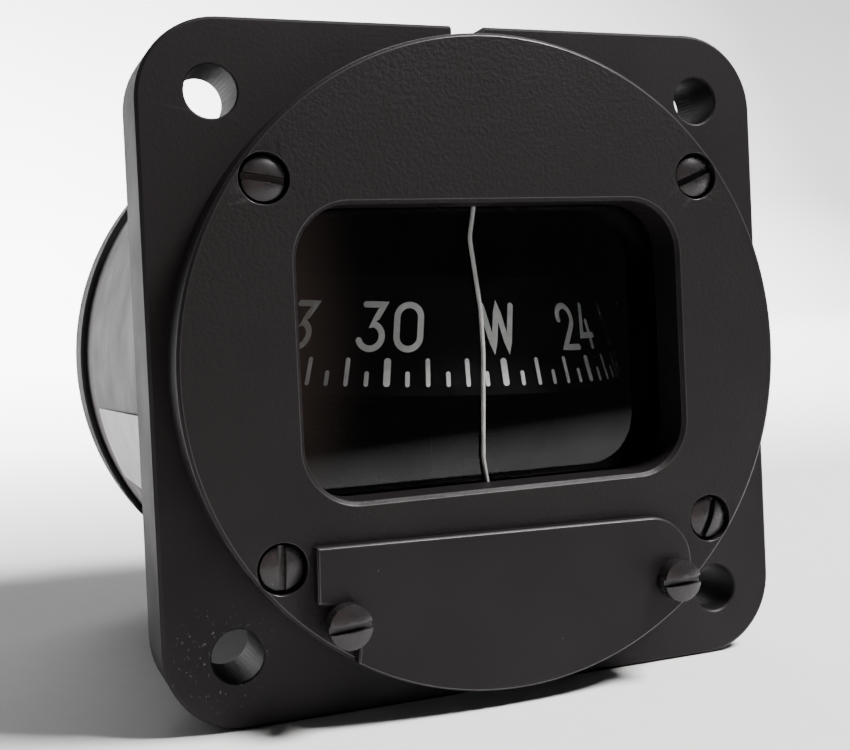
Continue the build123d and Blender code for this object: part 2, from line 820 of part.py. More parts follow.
def adjuster_front():
    return bezel_front + adjuster_recess


def make_adjuster(side, reach, slot_angle):
    """A slotted adjusting shaft behind its access hole, reaching back to the given depth."""
    front = adjuster_front()
    shaft = rod(0, 0, adjuster_head_radius, front, front + adjuster_head_height)
    shaft = chamfer(shaft.faces().sort_by(Axis.Y)[0].edges(), edge_break / 2)
    shaft += rod(0, 0, shaft_radius, front + adjuster_head_height, reach)
    slot = Pos(0, front, 0) * Box(3 * adjuster_head_radius, 2 * adjuster_slot_depth, adjuster_slot_width)
    return Pos(side * adjuster_x, 0, adjuster_z) * (shaft - Rot(0, -slot_angle, 0) * slot)


def make_adjuster_washers():
    """Dished friction washers, one under each adjusting shaft's head."""
    front = adjuster_front() + adjuster_head_height
    back = block_setback
    hole = shaft_radius + running_clearance
    washer = turned_lengthwise(
        [
            (hole, front),
            (hole + washer_land, front),
            (washer_radius, back - washer_thickness),
            (washer_radius, back),
            (washer_radius - washer_land, back),
            (hole, front + washer_thickness),
        ]
    )
    return Compound([Pos(side * adjuster_x, 0, adjuster_z) * washer for side in (-1, 1)])


def holder(length, bore, across):
    """A round hub along +Z from the origin, with a cross hole for a magnet."""
    hub = pillar(magnet_holder_radius, 0, length)
    middle = Pos(0, 0, length / 2)
    hole = middle * Rot(90, 0, 0) * pillar(comp_magnet_radius + fit_clearance, -across, across)
    return hub - hole - pillar(bore, -1, length + 1)


def cross_magnet(length, shaft):
    """Two short magnets in line, one each side of the shaft they turn with."""
    half = comp_magnet_length / 2
    start = shaft + fit_clearance
    place = Pos(0, 0, length / 2) * Rot(90, 0, 0)
    return [place * pillar(comp_magnet_radius, low, high) for low, high in ((start, half), (-half, -start))]


def make_spur_gear(bore, turn):
    """A spur gear in the XY plane with its magnet holder above it."""
    outline = Rot(0, 0, turn) * spur_outline(spur_teeth, backlash, spur_tip_share, spur_root_share)
    gear = extrude(outline, spur_width) - pillar(bore, -1, spur_width + 1)
    return gear + Pos(0, 0, spur_width) * holder(magnet_holder_length, bore, comp_magnet_length)


def spur_place(x):
    return Pos(x, front_bay + bay_end_gap, adjuster_z) * Rot(-90, 0, 0)


def make_lateral_gear():
    return spur_place(adjuster_x) * make_spur_gear(shaft_radius + fit_clearance, 0)


def make_lateral_idler_gear():
    return spur_place(idler_x) * make_spur_gear(idler_radius + running_clearance, 180 / spur_teeth)


def make_lateral_magnets(x, bore):
    place = spur_place(x) * Pos(0, 0, spur_width)
    return Compound([place * m for m in cross_magnet(magnet_holder_length, bore)])


def make_idler_spindle():
    return rod(idler_x, adjuster_z, idler_radius, block_setback, front_bay_back + shaft_socket)


def make_mitre_pinion():
    """The pinion on the long shaft, its cone pointing back at the cross pin."""
    pinion = mitre_gear() + pillar(pinion_hub_radius, mitre_radius, rear_bay_length / 2 - bay_end_gap)
    pinion -= pillar(shaft_radius + fit_clearance, 0, rear_bay_length)
    return Pos(-adjuster_x, cross_depth, adjuster_z) * Rot(90, 0, 0) * pinion


def cross_place(side):
    """The cross pin's place, with +Z turned out to one side along X."""
    return Pos(-adjuster_x, cross_depth, adjuster_z) * Rot(0, 90 * side, 0)


def make_mitre_wheel(side):
    wheel = Rot(0, 0, 180 / mitre_teeth) * mitre_gear()
    wheel -= pillar(cross_pin_radius + running_clearance, 0, mitre_radius + 1)
    hub = holder(magnet_holder_length, cross_pin_radius + running_clearance, comp_magnet_length)
    return cross_place(side) * (wheel + Pos(0, 0, mitre_radius) * Rot(0, 0, 90) * hub)


def make_fore_aft_magnets(side):
    place = cross_place(side) * Pos(0, 0, mitre_radius) * Rot(0, 0, 90)
    magnets = cross_magnet(magnet_holder_length, cross_pin_radius + running_clearance)
    return Compound([place * magnet for magnet in magnets])


def make_cross_pin():
    half = rear_bay_reach + bay_side_wall
    return cross_place(1) * pillar(cross_pin_radius, -half, half)


parts = {
    "case": make_case(),
    "bezel_disc": make_bezel(),
    "bezel_screws": make_bezel_screws(),
    "window_glass": make_window_glass(),
    "glass_gasket": make_glass_gasket(),
    "lubber_wire": make_lubber_wire(),
    "cover_plate": make_cover_plate(),
    "cover_pivot_screw": make_cover_screw(1, 2),
    "cover_lock_screw": make_cover_screw(-1, 4),
    "rear_cap": make_rear_cap(),
    "cap_screws": make_cap_screws(),
    "cap_seal": make_cap_seal(),
    "expansion_diaphragm": make_diaphragm(),
    "filler_plug": make_filler_plug(),
    "filler_washer": make_filler_washer(),
    "post_bracket": make_post_bracket(),
    "bracket_screws": make_bracket_screws(),
    "pivot_post": make_pivot_post(),
    "post_cap": make_post_cap(),
    "pivot_spring": make_pivot_spring(),
    "pivot_pin": make_pivot_pin(),
    "pivot_tip": make_pivot_tip(),
    "jewel": make_jewel(),
    "card_hub": make_card_hub(),
    "keeper_ring": make_keeper_ring(),
    "card_float": make_card_float(),
    "card_dial": make_card_dial(),
    "card_spider": make_card_spider(),
    "card_rivets": make_card_rivets(),
    "magnet_carrier": make_magnet_carrier(),
    "card_magnets": make_card_magnets(),
    "compensator_block": make_compensator_block(),
    "adjuster_washers": make_adjuster_washers(),
    "lateral_adjuster": make_adjuster(1, front_bay_back + shaft_socket - bay_end_gap, 40),
    "lateral_gear": make_lateral_gear(),
    "lateral_magnets": make_lateral_magnets(adjuster_x, shaft_radius + fit_clearance),
    "idler_spindle": make_idler_spindle(),
    "lateral_idler_gear": make_lateral_idler_gear(),
    "idler_magnets": make_lateral_magnets(idler_x, idler_radius + running_clearance),
    "fore_aft_adjuster": make_adjuster(-1, cross_depth - cross_pin_radius - bay_end_gap, 75),
    "mitre_pinion": make_mitre_pinion(),
    "cross_pin": make_cross_pin(),
    "left_mitre_wheel": make_mitre_wheel(-1),
    "left_magnets": make_fore_aft_magnets(-1),
    "right_mitre_wheel": make_mitre_wheel(1),
    "right_magnets": make_fore_aft_magnets(1),
}

os.makedirs("parts", exist_ok=True)
for name, solid in parts.items():
    export_step(solid, f"parts/{name}.step")
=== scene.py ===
import math

import bmesh
import bpy
from mathutils import Matrix, Vector


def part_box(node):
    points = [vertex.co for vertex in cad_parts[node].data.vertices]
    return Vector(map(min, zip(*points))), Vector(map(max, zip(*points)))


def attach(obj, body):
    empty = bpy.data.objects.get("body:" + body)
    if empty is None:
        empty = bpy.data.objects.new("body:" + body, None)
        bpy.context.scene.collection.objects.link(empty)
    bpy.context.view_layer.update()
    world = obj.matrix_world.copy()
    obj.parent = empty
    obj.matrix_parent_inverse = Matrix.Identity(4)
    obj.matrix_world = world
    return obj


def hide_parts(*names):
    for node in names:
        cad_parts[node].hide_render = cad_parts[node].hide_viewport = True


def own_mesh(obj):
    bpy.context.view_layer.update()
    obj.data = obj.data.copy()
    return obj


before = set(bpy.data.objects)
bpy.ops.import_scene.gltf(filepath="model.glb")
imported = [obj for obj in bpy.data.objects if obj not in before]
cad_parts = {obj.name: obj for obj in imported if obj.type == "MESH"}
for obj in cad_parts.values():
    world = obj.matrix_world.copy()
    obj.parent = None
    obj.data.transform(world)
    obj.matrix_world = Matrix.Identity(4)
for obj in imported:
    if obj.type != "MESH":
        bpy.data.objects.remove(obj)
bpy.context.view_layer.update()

mm = 0.001
sharpAngle = 32  # degrees from which an edge counts as sharp
scene = bpy.context.scene
print("frame loaded:", len(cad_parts), "nodes")


# ---- small helpers for objects and nodes

def newObject(name, mesh):
    piece = bpy.data.objects.new(name, mesh)
    scene.collection.objects.link(piece)
    return piece


def mergedCopy(node, name):
    # the CAD mesh is loose triangles, so a copy has its corners merged
    mesh = bpy.data.meshes.new(name)
    work = bmesh.new()
    work.from_mesh(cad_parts[node].data)
    bmesh.ops.remove_doubles(work, verts=work.verts, dist=0.002 * mm)
    work.to_mesh(mesh)
    work.free()
    mesh.materials.clear()
    return newObject(name, mesh)


def smooth(piece, degrees=sharpAngle):
    mesh = piece.data
    mesh.polygons.foreach_set("use_smooth", [True] * len(mesh.polygons))
    mesh.set_sharp_from_angle(angle=math.radians(degrees))


def roundEdges(piece, width, edgeSlot=-1):
    smooth(piece)
    bevel = piece.modifiers.new("roundedEdges", "BEVEL")
    bevel.width = width * mm
    bevel.segments = 2
    bevel.limit_method = "ANGLE"
    bevel.angle_limit = math.radians(sharpAngle)
    bevel.use_clamp_overlap = True
    # the bevel's faces may take a lighter edge paint, which is partly worn paint and partly a painted highlight
    bevel.material = edgeSlot
    level = piece.modifiers.new("flatFaces", "WEIGHTED_NORMAL")
    level.keep_sharp = True
    level.weight = 100


def addNode(tree, kind, inputs=None, **settings):
    node = tree.nodes.new(kind)
    for key, value in settings.items():
        setattr(node, key, value)
    for key, value in (inputs or {}).items():
        if isinstance(value, bpy.types.NodeSocket):
            tree.links.new(value, node.inputs[key])
        else:
            node.inputs[key].default_value = value
    return node


def newMaterial(name):
    material = bpy.data.materials.new(name)
    material.use_nodes = True
    tree = material.node_tree
    tree.nodes.clear()
    output = tree.nodes.new("ShaderNodeOutputMaterial")
    shader = tree.nodes.new("ShaderNodeBsdfPrincipled")
    tree.links.new(shader.outputs[0], output.inputs[0])
    where = tree.nodes.new("ShaderNodeTexCoord").outputs["Object"]
    return material, tree, shader, where


def noise(tree, where, sizeMm, detail=2.0, rough=0.5):
    inputs = {"Vector": where, "Scale": 1 / (sizeMm * mm), "Detail": detail, "Roughness": rough}
    return addNode(tree, "ShaderNodeTexNoise", inputs).outputs["Fac"]


def ramp(tree, value, low, high, toLow=0.0, toHigh=1.0):
    inputs = {"Value": value, "From Min": low, "From Max": high, "To Min": toLow, "To Max": toHigh}
    return addNode(tree, "ShaderNodeMapRange", inputs).outputs["Result"]


def mixColour(tree, factor, first, second):
    mix = addNode(tree, "ShaderNodeMix", data_type="RGBA")
    for socket, value in ((mix.inputs["Factor"], factor), (mix.inputs[6], first), (mix.inputs[7], second)):
        if isinstance(value, bpy.types.NodeSocket):
            tree.links.new(value, socket)
        else:
            socket.default_value = value
    return mix.outputs[2]


def maths(tree, operation, first, second=0.0):
    return addNode(tree, "ShaderNodeMath", {0: first, 1: second}, operation=operation).outputs[0]


def vectorMaths(tree, operation, first, second, output="Vector"):
    return addNode(tree, "ShaderNodeVectorMath", {0: first, 1: second}, operation=operation).outputs[output]


def colour(red, green, blue):
    return (red, green, blue, 1.0)


# ---- finishes

def specks(tree, where, spacing, radius, share):
    # a scatter of small round dots: one in each cell of a grid, and only in some of the cells
    cells = addNode(tree, "ShaderNodeTexVoronoi", {"Vector": where, "Scale": 1 / (spacing * mm)})
    dot = ramp(tree, cells.outputs["Distance"], radius / spacing, 0.6 * radius / spacing)
    pick = addNode(tree, "ShaderNodeSeparateColor", {0: cells.outputs["Color"]}).outputs[0]
    return maths(tree, "MULTIPLY", dot, maths(tree, "LESS_THAN", pick, share))


# sizes of clouds, grain and chips and the depth of the grain are in millimetres
usualPaint = {"cloud": 9, "grain": 0.42, "grainTint": 0.35, "depth": 0.02, "specular": 0.5,
              "dustRoughness": 0.8, "chip": 0.42, "chipShare": (0.60, 0.66)}
usualMetal = {"cloud": 3, "lines": (9000, 1500, 9000), "lineDepth": 0.003, "lineStrength": 0.6, "metallic": 1.0}


def paint(name, look):
    # sprayed paint: cloudy colour, a fine pebbled grain, a scatter of dust and uneven gloss
    look = {**usualPaint, **look}
    material, tree, shader, where = newMaterial(name)
    cloud = noise(tree, where, look["cloud"], 3)
    base = mixColour(tree, ramp(tree, cloud, 0.35, 0.65), look["colour"], look["shade"])
    grain = noise(tree, where, look["grain"], 2.5, 0.6)
    base = mixColour(tree, ramp(tree, grain, 0.3, 0.75, 0, look["grainTint"]), base, look["shade"])
    roughness = ramp(tree, cloud, 0.3, 0.7, *look["roughness"])
    if "dust" in look:
        spacing, radius, share, tint = look["dust"]
        dust = specks(tree, where, spacing, radius, share)
        base = mixColour(tree, dust, base, tint)
        dustRoughness = maths(tree, "MULTIPLY", dust, look["dustRoughness"])
        roughness = maths(tree, "MAXIMUM", roughness, dustRoughness)
    if "wear" in look:
        centre, reach, tint = look["wear"]
        away = vectorMaths(tree, "DISTANCE", where, Vector(centre) * mm, "Value")
        near = ramp(tree, away, reach * mm, 0.5 * reach * mm)
        chips = ramp(tree, noise(tree, where, look["chip"], 5, 0.72), *look["chipShare"])
        base = mixColour(tree, maths(tree, "MULTIPLY", near, chips), base, tint)
    tree.links.new(base, shader.inputs["Base Color"])
    tree.links.new(roughness, shader.inputs["Roughness"])
    shader.inputs["Specular IOR Level"].default_value = look["specular"]
    bump = addNode(tree, "ShaderNodeBump", {"Height": grain, "Distance": look["depth"] * mm, "Strength": 1.0})
    tree.links.new(bump.outputs[0], shader.inputs["Normal"])
    return material


def metal(name, look):
    # turned or drawn metal: fine lines along one direction, slight tarnish
    look = {**usualMetal, **look}
    material, tree, shader, where = newMaterial(name)
    stretched = addNode(tree, "ShaderNodeMapping", {"Vector": where, "Scale": look["lines"]}).outputs[0]
    lines = noise(tree, stretched, 1000, 3)  # the mapping sets how fine they are
    tarnish = noise(tree, where, look["cloud"], 3)
    base = mixColour(tree, ramp(tree, tarnish, 0.35, 0.7), look["colour"], look["shade"])
    tree.links.new(base, shader.inputs["Base Color"])
    tree.links.new(ramp(tree, lines, 0.3, 0.7, *look["roughness"]), shader.inputs["Roughness"])
    shader.inputs["Metallic"].default_value = look["metallic"]
    bump = addNode(tree, "ShaderNodeBump", {"Height": lines, "Distance": look["lineDepth"] * mm,
                                            "Strength": look["lineStrength"]})
    tree.links.new(bump.outputs[0], shader.inputs["Normal"])
    return material


# dust is (spacing, radius, share of the cells, tint) and wear is (place, reach, tint)
finishes = {
    "flangePaint": {
        "colour": colour(0.0092, 0.0075, 0.0082), "shade": colour(0.0057, 0.0046, 0.0052),
        "roughness": (0.46, 0.58), "grain": 0.34, "depth": 0.02,
        "dust": (1.7, 0.05, 0.16, colour(0.16, 0.155, 0.15)),
        "wear": ((-25.2, 0, -23.6), 5.2, colour(0.16, 0.155, 0.15)), "specular": 0.16,
    },
    "bezelPaint": {
        "colour": colour(0.0086, 0.0070, 0.0076), "shade": colour(0.0055, 0.0045, 0.0049),
        "roughness": (0.46, 0.58), "grain": 0.38, "depth": 0.06,
        "dust": (2.4, 0.05, 0.10, colour(0.26, 0.25, 0.25)), "specular": 0.16,
    },
    "coverPaint": {
        "colour": colour(0.0074, 0.0058, 0.0073), "shade": colour(0.0054, 0.0042, 0.0053),
        "roughness": (0.42, 0.52), "grain": 0.28, "depth": 0.006,
        "dust": (1.3, 0.05, 0.20, colour(0.20, 0.19, 0.20)), "specular": 0.16,
    },
    # the edge paint is lighter and glossier than the faces: partly worn paint, partly a painted highlight along
    # every bevelled edge
    "wornEdgeAndHighlight": {
        "colour": colour(0.018, 0.016, 0.017), "shade": colour(0.010, 0.009, 0.0095),
        "roughness": (0.32, 0.44), "cloud": 1.6, "grain": 0.25, "depth": 0.004,
    },
    "barrelPaint": {
        "colour": colour(0.034, 0.0265, 0.0285), "shade": colour(0.028, 0.0215, 0.0235),
        "roughness": (0.36, 0.46), "cloud": 6, "grain": 0.5, "depth": 0.004, "grainTint": 0.15,
        "specular": 0.10,
    },
    "capPaint": {
        "colour": colour(0.010, 0.011, 0.011), "shade": colour(0.007, 0.008, 0.008),
        "roughness": (0.46, 0.56), "grain": 0.3, "depth": 0.006, "specular": 0.12,
    },
    "screwPaint": {
        "colour": colour(0.016, 0.0145, 0.015), "shade": colour(0.009, 0.008, 0.0085),
        "roughness": (0.24, 0.34), "cloud": 1.2, "grain": 0.30, "depth": 0.008,
        "dust": (0.8, 0.04, 0.14, colour(0.4, 0.39, 0.38)), "specular": 0.4,
    },
    "bowlBlack": {
        "colour": colour(0.0032, 0.0034, 0.0034), "shade": colour(0.0024, 0.0026, 0.0026),
        "roughness": (0.6, 0.75), "grain": 0.3, "depth": 0.001, "specular": 0.03,
    },
    "dialBlack": {
        "colour": colour(0.0045, 0.0048, 0.0048), "shade": colour(0.0034, 0.0036, 0.0036),
        "roughness": (0.65, 0.8), "grain": 0.25, "depth": 0.001, "specular": 0.05,
    },
    "blackenedBrass": {
        "colour": colour(0.0040, 0.0038, 0.0034), "shade": colour(0.0026, 0.0024, 0.0023),
        "roughness": (0.5, 0.65), "cloud": 1.5, "grain": 0.2, "depth": 0.001, "specular": 0.05,
    },
    "markPaint": {
        "colour": colour(0.86, 0.87, 0.87), "shade": colour(0.74, 0.75, 0.75),
        "roughness": (0.6, 0.75), "cloud": 0.8, "grain": 0.16, "depth": 0.004,
    },
    "wirePaint": {
        "colour": colour(0.36, 0.36, 0.355), "shade": colour(0.26, 0.26, 0.255),
        "roughness": (0.4, 0.55), "cloud": 0.9, "grain": 0.14, "depth": 0.004,
    },
    "sealRubber": {
        "colour": colour(0.010, 0.010, 0.011), "shade": colour(0.006, 0.006, 0.007),
        "roughness": (0.6, 0.8), "grain": 0.2, "depth": 0.008, "specular": 0.25,
    },
    "stickerPaper": {
        "colour": colour(0.80, 0.77, 0.80), "shade": colour(0.70, 0.67, 0.70),
        "roughness": (0.40, 0.55), "cloud": 4, "grain": 0.2, "depth": 0.002,
    },
    "fibre": {
        "colour": colour(0.30, 0.11, 0.05), "shade": colour(0.20, 0.07, 0.03),
        "roughness": (0.6, 0.75), "grain": 0.15,
    },
    "floatBlack": {
        "colour": colour(0.0035, 0.0035, 0.0038), "shade": colour(0.0024, 0.0024, 0.0026),
        "roughness": (0.5, 0.65), "grain": 0.4, "depth": 0.001, "specular": 0.05,
    },
}
metals = {
    "brass": {
        "colour": colour(0.55, 0.38, 0.14), "shade": colour(0.42, 0.28, 0.10),
        "roughness": (0.25, 0.38),
    },
    "bronze": {
        "colour": colour(0.48, 0.27, 0.13), "shade": colour(0.36, 0.19, 0.09),
        "roughness": (0.25, 0.4),
    },
    "steel": {
        "colour": colour(0.55, 0.55, 0.56), "shade": colour(0.42, 0.42, 0.43),
        "roughness": (0.18, 0.3),
    },
    "magnetSteel": {
        "colour": colour(0.30, 0.30, 0.31), "shade": colour(0.22, 0.22, 0.23),
        "roughness": (0.3, 0.45),
    },
    "sapphire": {
        "colour": colour(0.55, 0.08, 0.14), "shade": colour(0.45, 0.05, 0.10),
        "roughness": (0.05, 0.1), "metallic": 0.0,
    },
}
shades = {name: paint(name, look) for name, look in finishes.items()}
shades.update({name: metal(name, look) for name, look in metals.items()})


windowLook = {"tint": colour(0.90, 0.90, 0.90), "liquid": 1.42, "glass": 1.45, "gloss": 0.03,
              "passed": colour(0.87, 0.875, 0.87), "smear": 6, "smearRange": (0.9, 1.15),
              "lint": (2.3, 0.045, 0.30), "lintTint": colour(0.20, 0.20, 0.20)}


def windowFinish():
    # clear glass with the liquid right behind it: sight bends once, at the front face, and light goes straight
    material, tree, shader, where = newMaterial("windowPane")
    tree.nodes.remove(shader)
    output = next(n for n in tree.nodes if n.type == "OUTPUT_MATERIAL")
    bend = addNode(tree, "ShaderNodeBsdfRefraction",
                   {"Color": windowLook["tint"], "IOR": windowLook["liquid"], "Roughness": 0.0})
    straight = addNode(tree, "ShaderNodeBsdfTransparent", {"Color": windowLook["passed"]})
    gloss = addNode(tree, "ShaderNodeBsdfGlossy", {"Roughness": windowLook["gloss"]})
    smear = ramp(tree, noise(tree, where, windowLook["smear"], 3), 0.3, 0.7, *windowLook["smearRange"])
    fresnel = addNode(tree, "ShaderNodeFresnel", {"IOR": windowLook["glass"]}).outputs[0]
    shine = maths(tree, "MULTIPLY", fresnel, smear)
    pane = addNode(tree, "ShaderNodeMixShader", {0: shine, 1: bend.outputs[0], 2: gloss.outputs[0]})
    lint = specks(tree, where, *windowLook["lint"])
    dust = addNode(tree, "ShaderNodeBsdfDiffuse", {"Color": windowLook["lintTint"]})
    dusty = addNode(tree, "ShaderNodeMixShader", {0: lint, 1: pane.outputs[0], 2: dust.outputs[0]})
    back = addNode(tree, "ShaderNodeNewGeometry").outputs["Backfacing"]
    seen = addNode(tree, "ShaderNodeLightPath").outputs["Is Camera Ray"]
    front = maths(tree, "MULTIPLY", seen, maths(tree, "SUBTRACT", 1.0, back))
    final = addNode(tree, "ShaderNodeMixShader", {0: front, 1: straight.outputs[0], 2: dusty.outputs[0]})
    tree.links.new(final.outputs[0], output.inputs[0])
    return material


shades["windowPane"] = windowFinish()
print("finishes made:", len(shades))

innerFinishes = {
    "blackenedBrass": ["expansion_diaphragm", "post_bracket", "bracket_screws", "pivot_post", "post_cap",
                       "card_hub", "keeper_ring", "card_spider", "card_rivets", "magnet_carrier",
                       "card_magnets"],
    "brass": ["compensator_block", "lateral_adjuster", "lateral_gear", "lateral_idler_gear",
              "fore_aft_adjuster", "mitre_pinion", "left_mitre_wheel", "right_mitre_wheel"],
    "magnetSteel": ["lateral_magnets", "idler_magnets", "left_magnets", "right_magnets"],
    "steel": ["pivot_pin", "pivot_tip", "idler_spindle", "cross_pin"],
    "bronze": ["pivot_spring", "adjuster_washers"],
    "sealRubber": ["glass_gasket", "cap_seal"],
    "sapphire": ["jewel"], "fibre": ["filler_washer"], "floatBlack": ["card_float"], "dialBlack": ["card_dial"],
    "wirePaint": ["lubber_wire"], "windowPane": ["window_glass"],
}
for finish, nodes in innerFinishes.items():
    for node in nodes:
        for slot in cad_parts[node].material_slots:
            slot.material = shades[finish]
print("inner pieces finished:", sum(len(nodes) for nodes in innerFinishes.values()))


# ---- case, disc, cover plate, cap and plug: the CAD shapes with small forms added and softly rounded edges

def reshape(piece, rule):
    # the rule takes a corner's x, y and z in millimetres and gives its new ones
    for vertex in piece.data.vertices:
        vertex.co = Vector(rule(*(vertex.co / mm))) * mm


def carve(piece, cutter):
    cut = piece.modifiers.new("cut", "BOOLEAN")
    cut.operation, cut.solver, cut.object = "DIFFERENCE", "EXACT", cutter
    depsgraph = bpy.context.evaluated_depsgraph_get()
    mesh = bpy.data.meshes.new_from_object(piece.evaluated_get(depsgraph))
    piece.modifiers.remove(cut)
    piece.data = mesh
    mesh.materials.clear()
    bpy.data.objects.remove(cutter)


def dress(piece, node, width, shadeNames, slotOf=None):
    for shade in shadeNames:
        piece.data.materials.append(shades[shade])
    if slotOf:
        for face in piece.data.polygons:
            face.material_index = slotOf(face.center / mm)
    # when the last finish is the edge paint, the bevels take it: worn paint and a painted highlight
    edgeSlot = len(shadeNames) - 1 if shadeNames[-1] == "wornEdgeAndHighlight" else -1
    roundEdges(piece, width, edgeSlot)
    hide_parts(node)


def about(x, z, centre, factor):
    return centre[0] + (x - centre[0]) * factor, centre[1] + (z - centre[1]) * factor


caseLook = {
    "thick": 7.5, "cadBarrel": 29.65, "barrel": 29.95, "skinFrom": 29.3, "edge": 0.08,
    "hole": (23.801, 2.27), "cadChamfer": 0.3, "chamfer": 0.15, "countersink": 1.1,
    "notchWide": 3.3, "notchFloor": 27.75, "mouth": 28.4,
    "rootLeft": 0.5, "near": 0.05,
}


def caseShape(x, y, z):
    # a barrel slightly fuller towards its back, and a finer chamfer at the mouths of the four corner holes
    near, radius = caseLook["near"], math.hypot(x, z)
    if y > caseLook["thick"] + caseLook["rootLeft"] and abs(radius - caseLook["cadBarrel"]) < near:
        x, z = about(x, z, (0, 0), caseLook["barrel"] / caseLook["cadBarrel"])
    spot, hole = caseLook["hole"]
    centre = (math.copysign(spot, x), math.copysign(spot, z))
    reach = math.hypot(x - centre[0], z - centre[1])
    if y < near and abs(reach - hole - caseLook["cadChamfer"]) < near:
        x, z = about(x, z, centre, (hole + caseLook["chamfer"]) / reach)
    if abs(y - caseLook["cadChamfer"]) < near and abs(reach - hole) < near:
        y = caseLook["chamfer"]
    return x, y, z


def caseCutter():
    # the notch in the top of the flange, and the countersinks at the back of its holes
    work = bmesh.new()
    thick, floor, sink = caseLook["thick"], caseLook["notchFloor"], caseLook["countersink"]
    size = (caseLook["notchWide"], thick + 1, 4)
    for vertex in bmesh.ops.create_cube(work, size=1)["verts"]:
        vertex.co = Vector([c * s for c, s in zip(vertex.co, size)]) + Vector((0, (thick - 1) / 2, floor + 2))
    spot, hole = caseLook["hole"]
    past = 0.2  # how far a countersink's cone stands out of the flange's back
    for x, z in ((-spot, spot), (spot, spot), (-spot, -spot), (spot, -spot)):
        place = Matrix.Translation((x, thick + (past - sink) / 2, z)) @ Matrix.Rotation(math.pi / 2, 4, "X")
        bmesh.ops.create_cone(work, cap_ends=True, segments=64, radius1=hole + sink + past, radius2=hole,
                              depth=sink + past, matrix=place)
    work.transform(Matrix.Scale(mm, 4))
    mesh = bpy.data.meshes.new("caseCutter")
    work.to_mesh(mesh)
    work.free()
    return newObject("caseCutter", mesh)


def caseSlot(centre):
    # slot 1 is the barrel's skin, 2 the bowl and the mouth, 0 the flange
    near, radius = caseLook["near"], math.hypot(centre.x, centre.z)
    if centre.y > caseLook["thick"] + near and radius > caseLook["skinFrom"]:
        return 1
    notch = centre.z > caseLook["notchFloor"] - 0.1 and abs(centre.x) < caseLook["notchWide"] / 2 + 0.1
    inside = radius < caseLook["mouth"] and centre.y > near and abs(centre.y - caseLook["thick"]) > 0.1
    return 2 if inside and not notch else 0


casePiece = mergedCopy("case", "caseBody")
reshape(casePiece, caseShape)
carve(casePiece, caseCutter())
dress(casePiece, "case", caseLook["edge"], ["flangePaint", "barrelPaint", "bowlBlack", "wornEdgeAndHighlight"], caseSlot)
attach(casePiece, "case")

discLook = {"edge": 0.06, "windowSide": 18.35, "windowFoot": -11.4, "windowHead": 13.8, "margin": 0.4,
            "sideShift": 0.1, "footShift": 0.25}


def discShape(x, y, z):
    # the window's foot sits a little higher, and its sides a little further in
    margin = discLook["margin"]
    inside = (abs(x) < discLook["windowSide"] + margin
              and discLook["windowFoot"] - margin < z < discLook["windowHead"] + margin)
    if inside and z < 0:
        z += discLook["footShift"]
    if inside and x:
        x -= math.copysign(discLook["sideShift"], x)
    return x, y, z


bezelPiece = mergedCopy("bezel_disc", "bezelDisc")
reshape(bezelPiece, discShape)
dress(bezelPiece, "bezel_disc", discLook["edge"], ["bezelPaint", "wornEdgeAndHighlight"])
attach(bezelPiece, "case")

coverLook = {"edge": 0.05, "tilt": 1.3, "screwX": 15.80, "screwZ": -20.90, "clear": 1.75}


def coverShape(x, y, z):
    # the outline sits a little turned about the disc's centre, and the hole and notch stay round their screws
    if math.hypot(abs(x) - coverLook["screwX"], z - coverLook["screwZ"]) < coverLook["clear"]:
        return x, y, z
    tilt = math.radians(coverLook["tilt"])
    return x * math.cos(tilt) + z * math.sin(tilt), y, z * math.cos(tilt) - x * math.sin(tilt)


coverPiece = mergedCopy("cover_plate", "coverPlate")
reshape(coverPiece, coverShape)
dress(coverPiece, "cover_plate", coverLook["edge"], ["coverPaint", "wornEdgeAndHighlight"])
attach(coverPiece, "cover")

capLook = {"edge": 0.12}
capPiece = mergedCopy("rear_cap", "rearCap")
dress(capPiece, "rear_cap", capLook["edge"], ["capPaint"])
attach(capPiece, "case")

plugLook = {"edge": 0.12}
plugPiece = mergedCopy("filler_plug", "fillerPlug")
dress(plugPiece, "filler_plug", plugLook["edge"], ["screwPaint"])
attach(plugPiece, "case")
print("case, disc, cover plate, cap and plug dressed")


# ---- slotted screws: one screw's shape, set at each place by geometry nodes

def groupInput(tree, name, kind, value=None):
    socket = tree.interface.new_socket(name=name, in_out="INPUT", socket_type=kind)
    if value is not None:
        socket.default_value = value
    return socket.identifier


def newGeometryTree(name):
    tree = bpy.data.node_groups.new(name, "GeometryNodeTree")
    tree.interface.new_socket(name="Geometry", in_out="INPUT", socket_type="NodeSocketGeometry")
    tree.interface.new_socket(name="Geometry", in_out="OUTPUT", socket_type="NodeSocketGeometry")
    start = tree.nodes.new("NodeGroupInput")
    end = tree.nodes.new("NodeGroupOutput")
    return tree, start, end


def finishTree(tree, end, geometry, material):
    real = addNode(tree, "GeometryNodeRealizeInstances", {0: geometry})
    painted = addNode(tree, "GeometryNodeSetMaterial", {"Geometry": real.outputs[0], "Material": material})
    tree.links.new(painted.outputs[0], end.inputs[0])


def grow(name, base, tree, values):
    # runs a tree on a base mesh and keeps the result as a plain mesh
    holder = newObject(name + "Holder", base)
    modifier = holder.modifiers.new("grow", "NODES")
    modifier.node_group = tree
    for identifier, value in values.items():
        modifier[identifier] = value
    depsgraph = bpy.context.evaluated_depsgraph_get()
    mesh = bpy.data.meshes.new_from_object(holder.evaluated_get(depsgraph))
    mesh.name = name
    bpy.data.objects.remove(holder)
    return newObject(name, mesh)


# the angles are those of the slots, in degrees; a pair such as (-1, 1) is left or right, then foot or head
screwLook = {
    "edge": 0.07, "headBack": -1.75, "shankStart": 2.0, "headRadius": 1.85, "bezelSink": 0.1,
    "lockAngle": -4, "pivotAngle": -6, "bezelAngles": {(-1, 1): -17, (1, 1): 14, (-1, -1): 80, (1, -1): 60},
    "capAngle": 25, "capStep": 53, "bezelLonger": 1.0, "capLonger": 4.6,
}


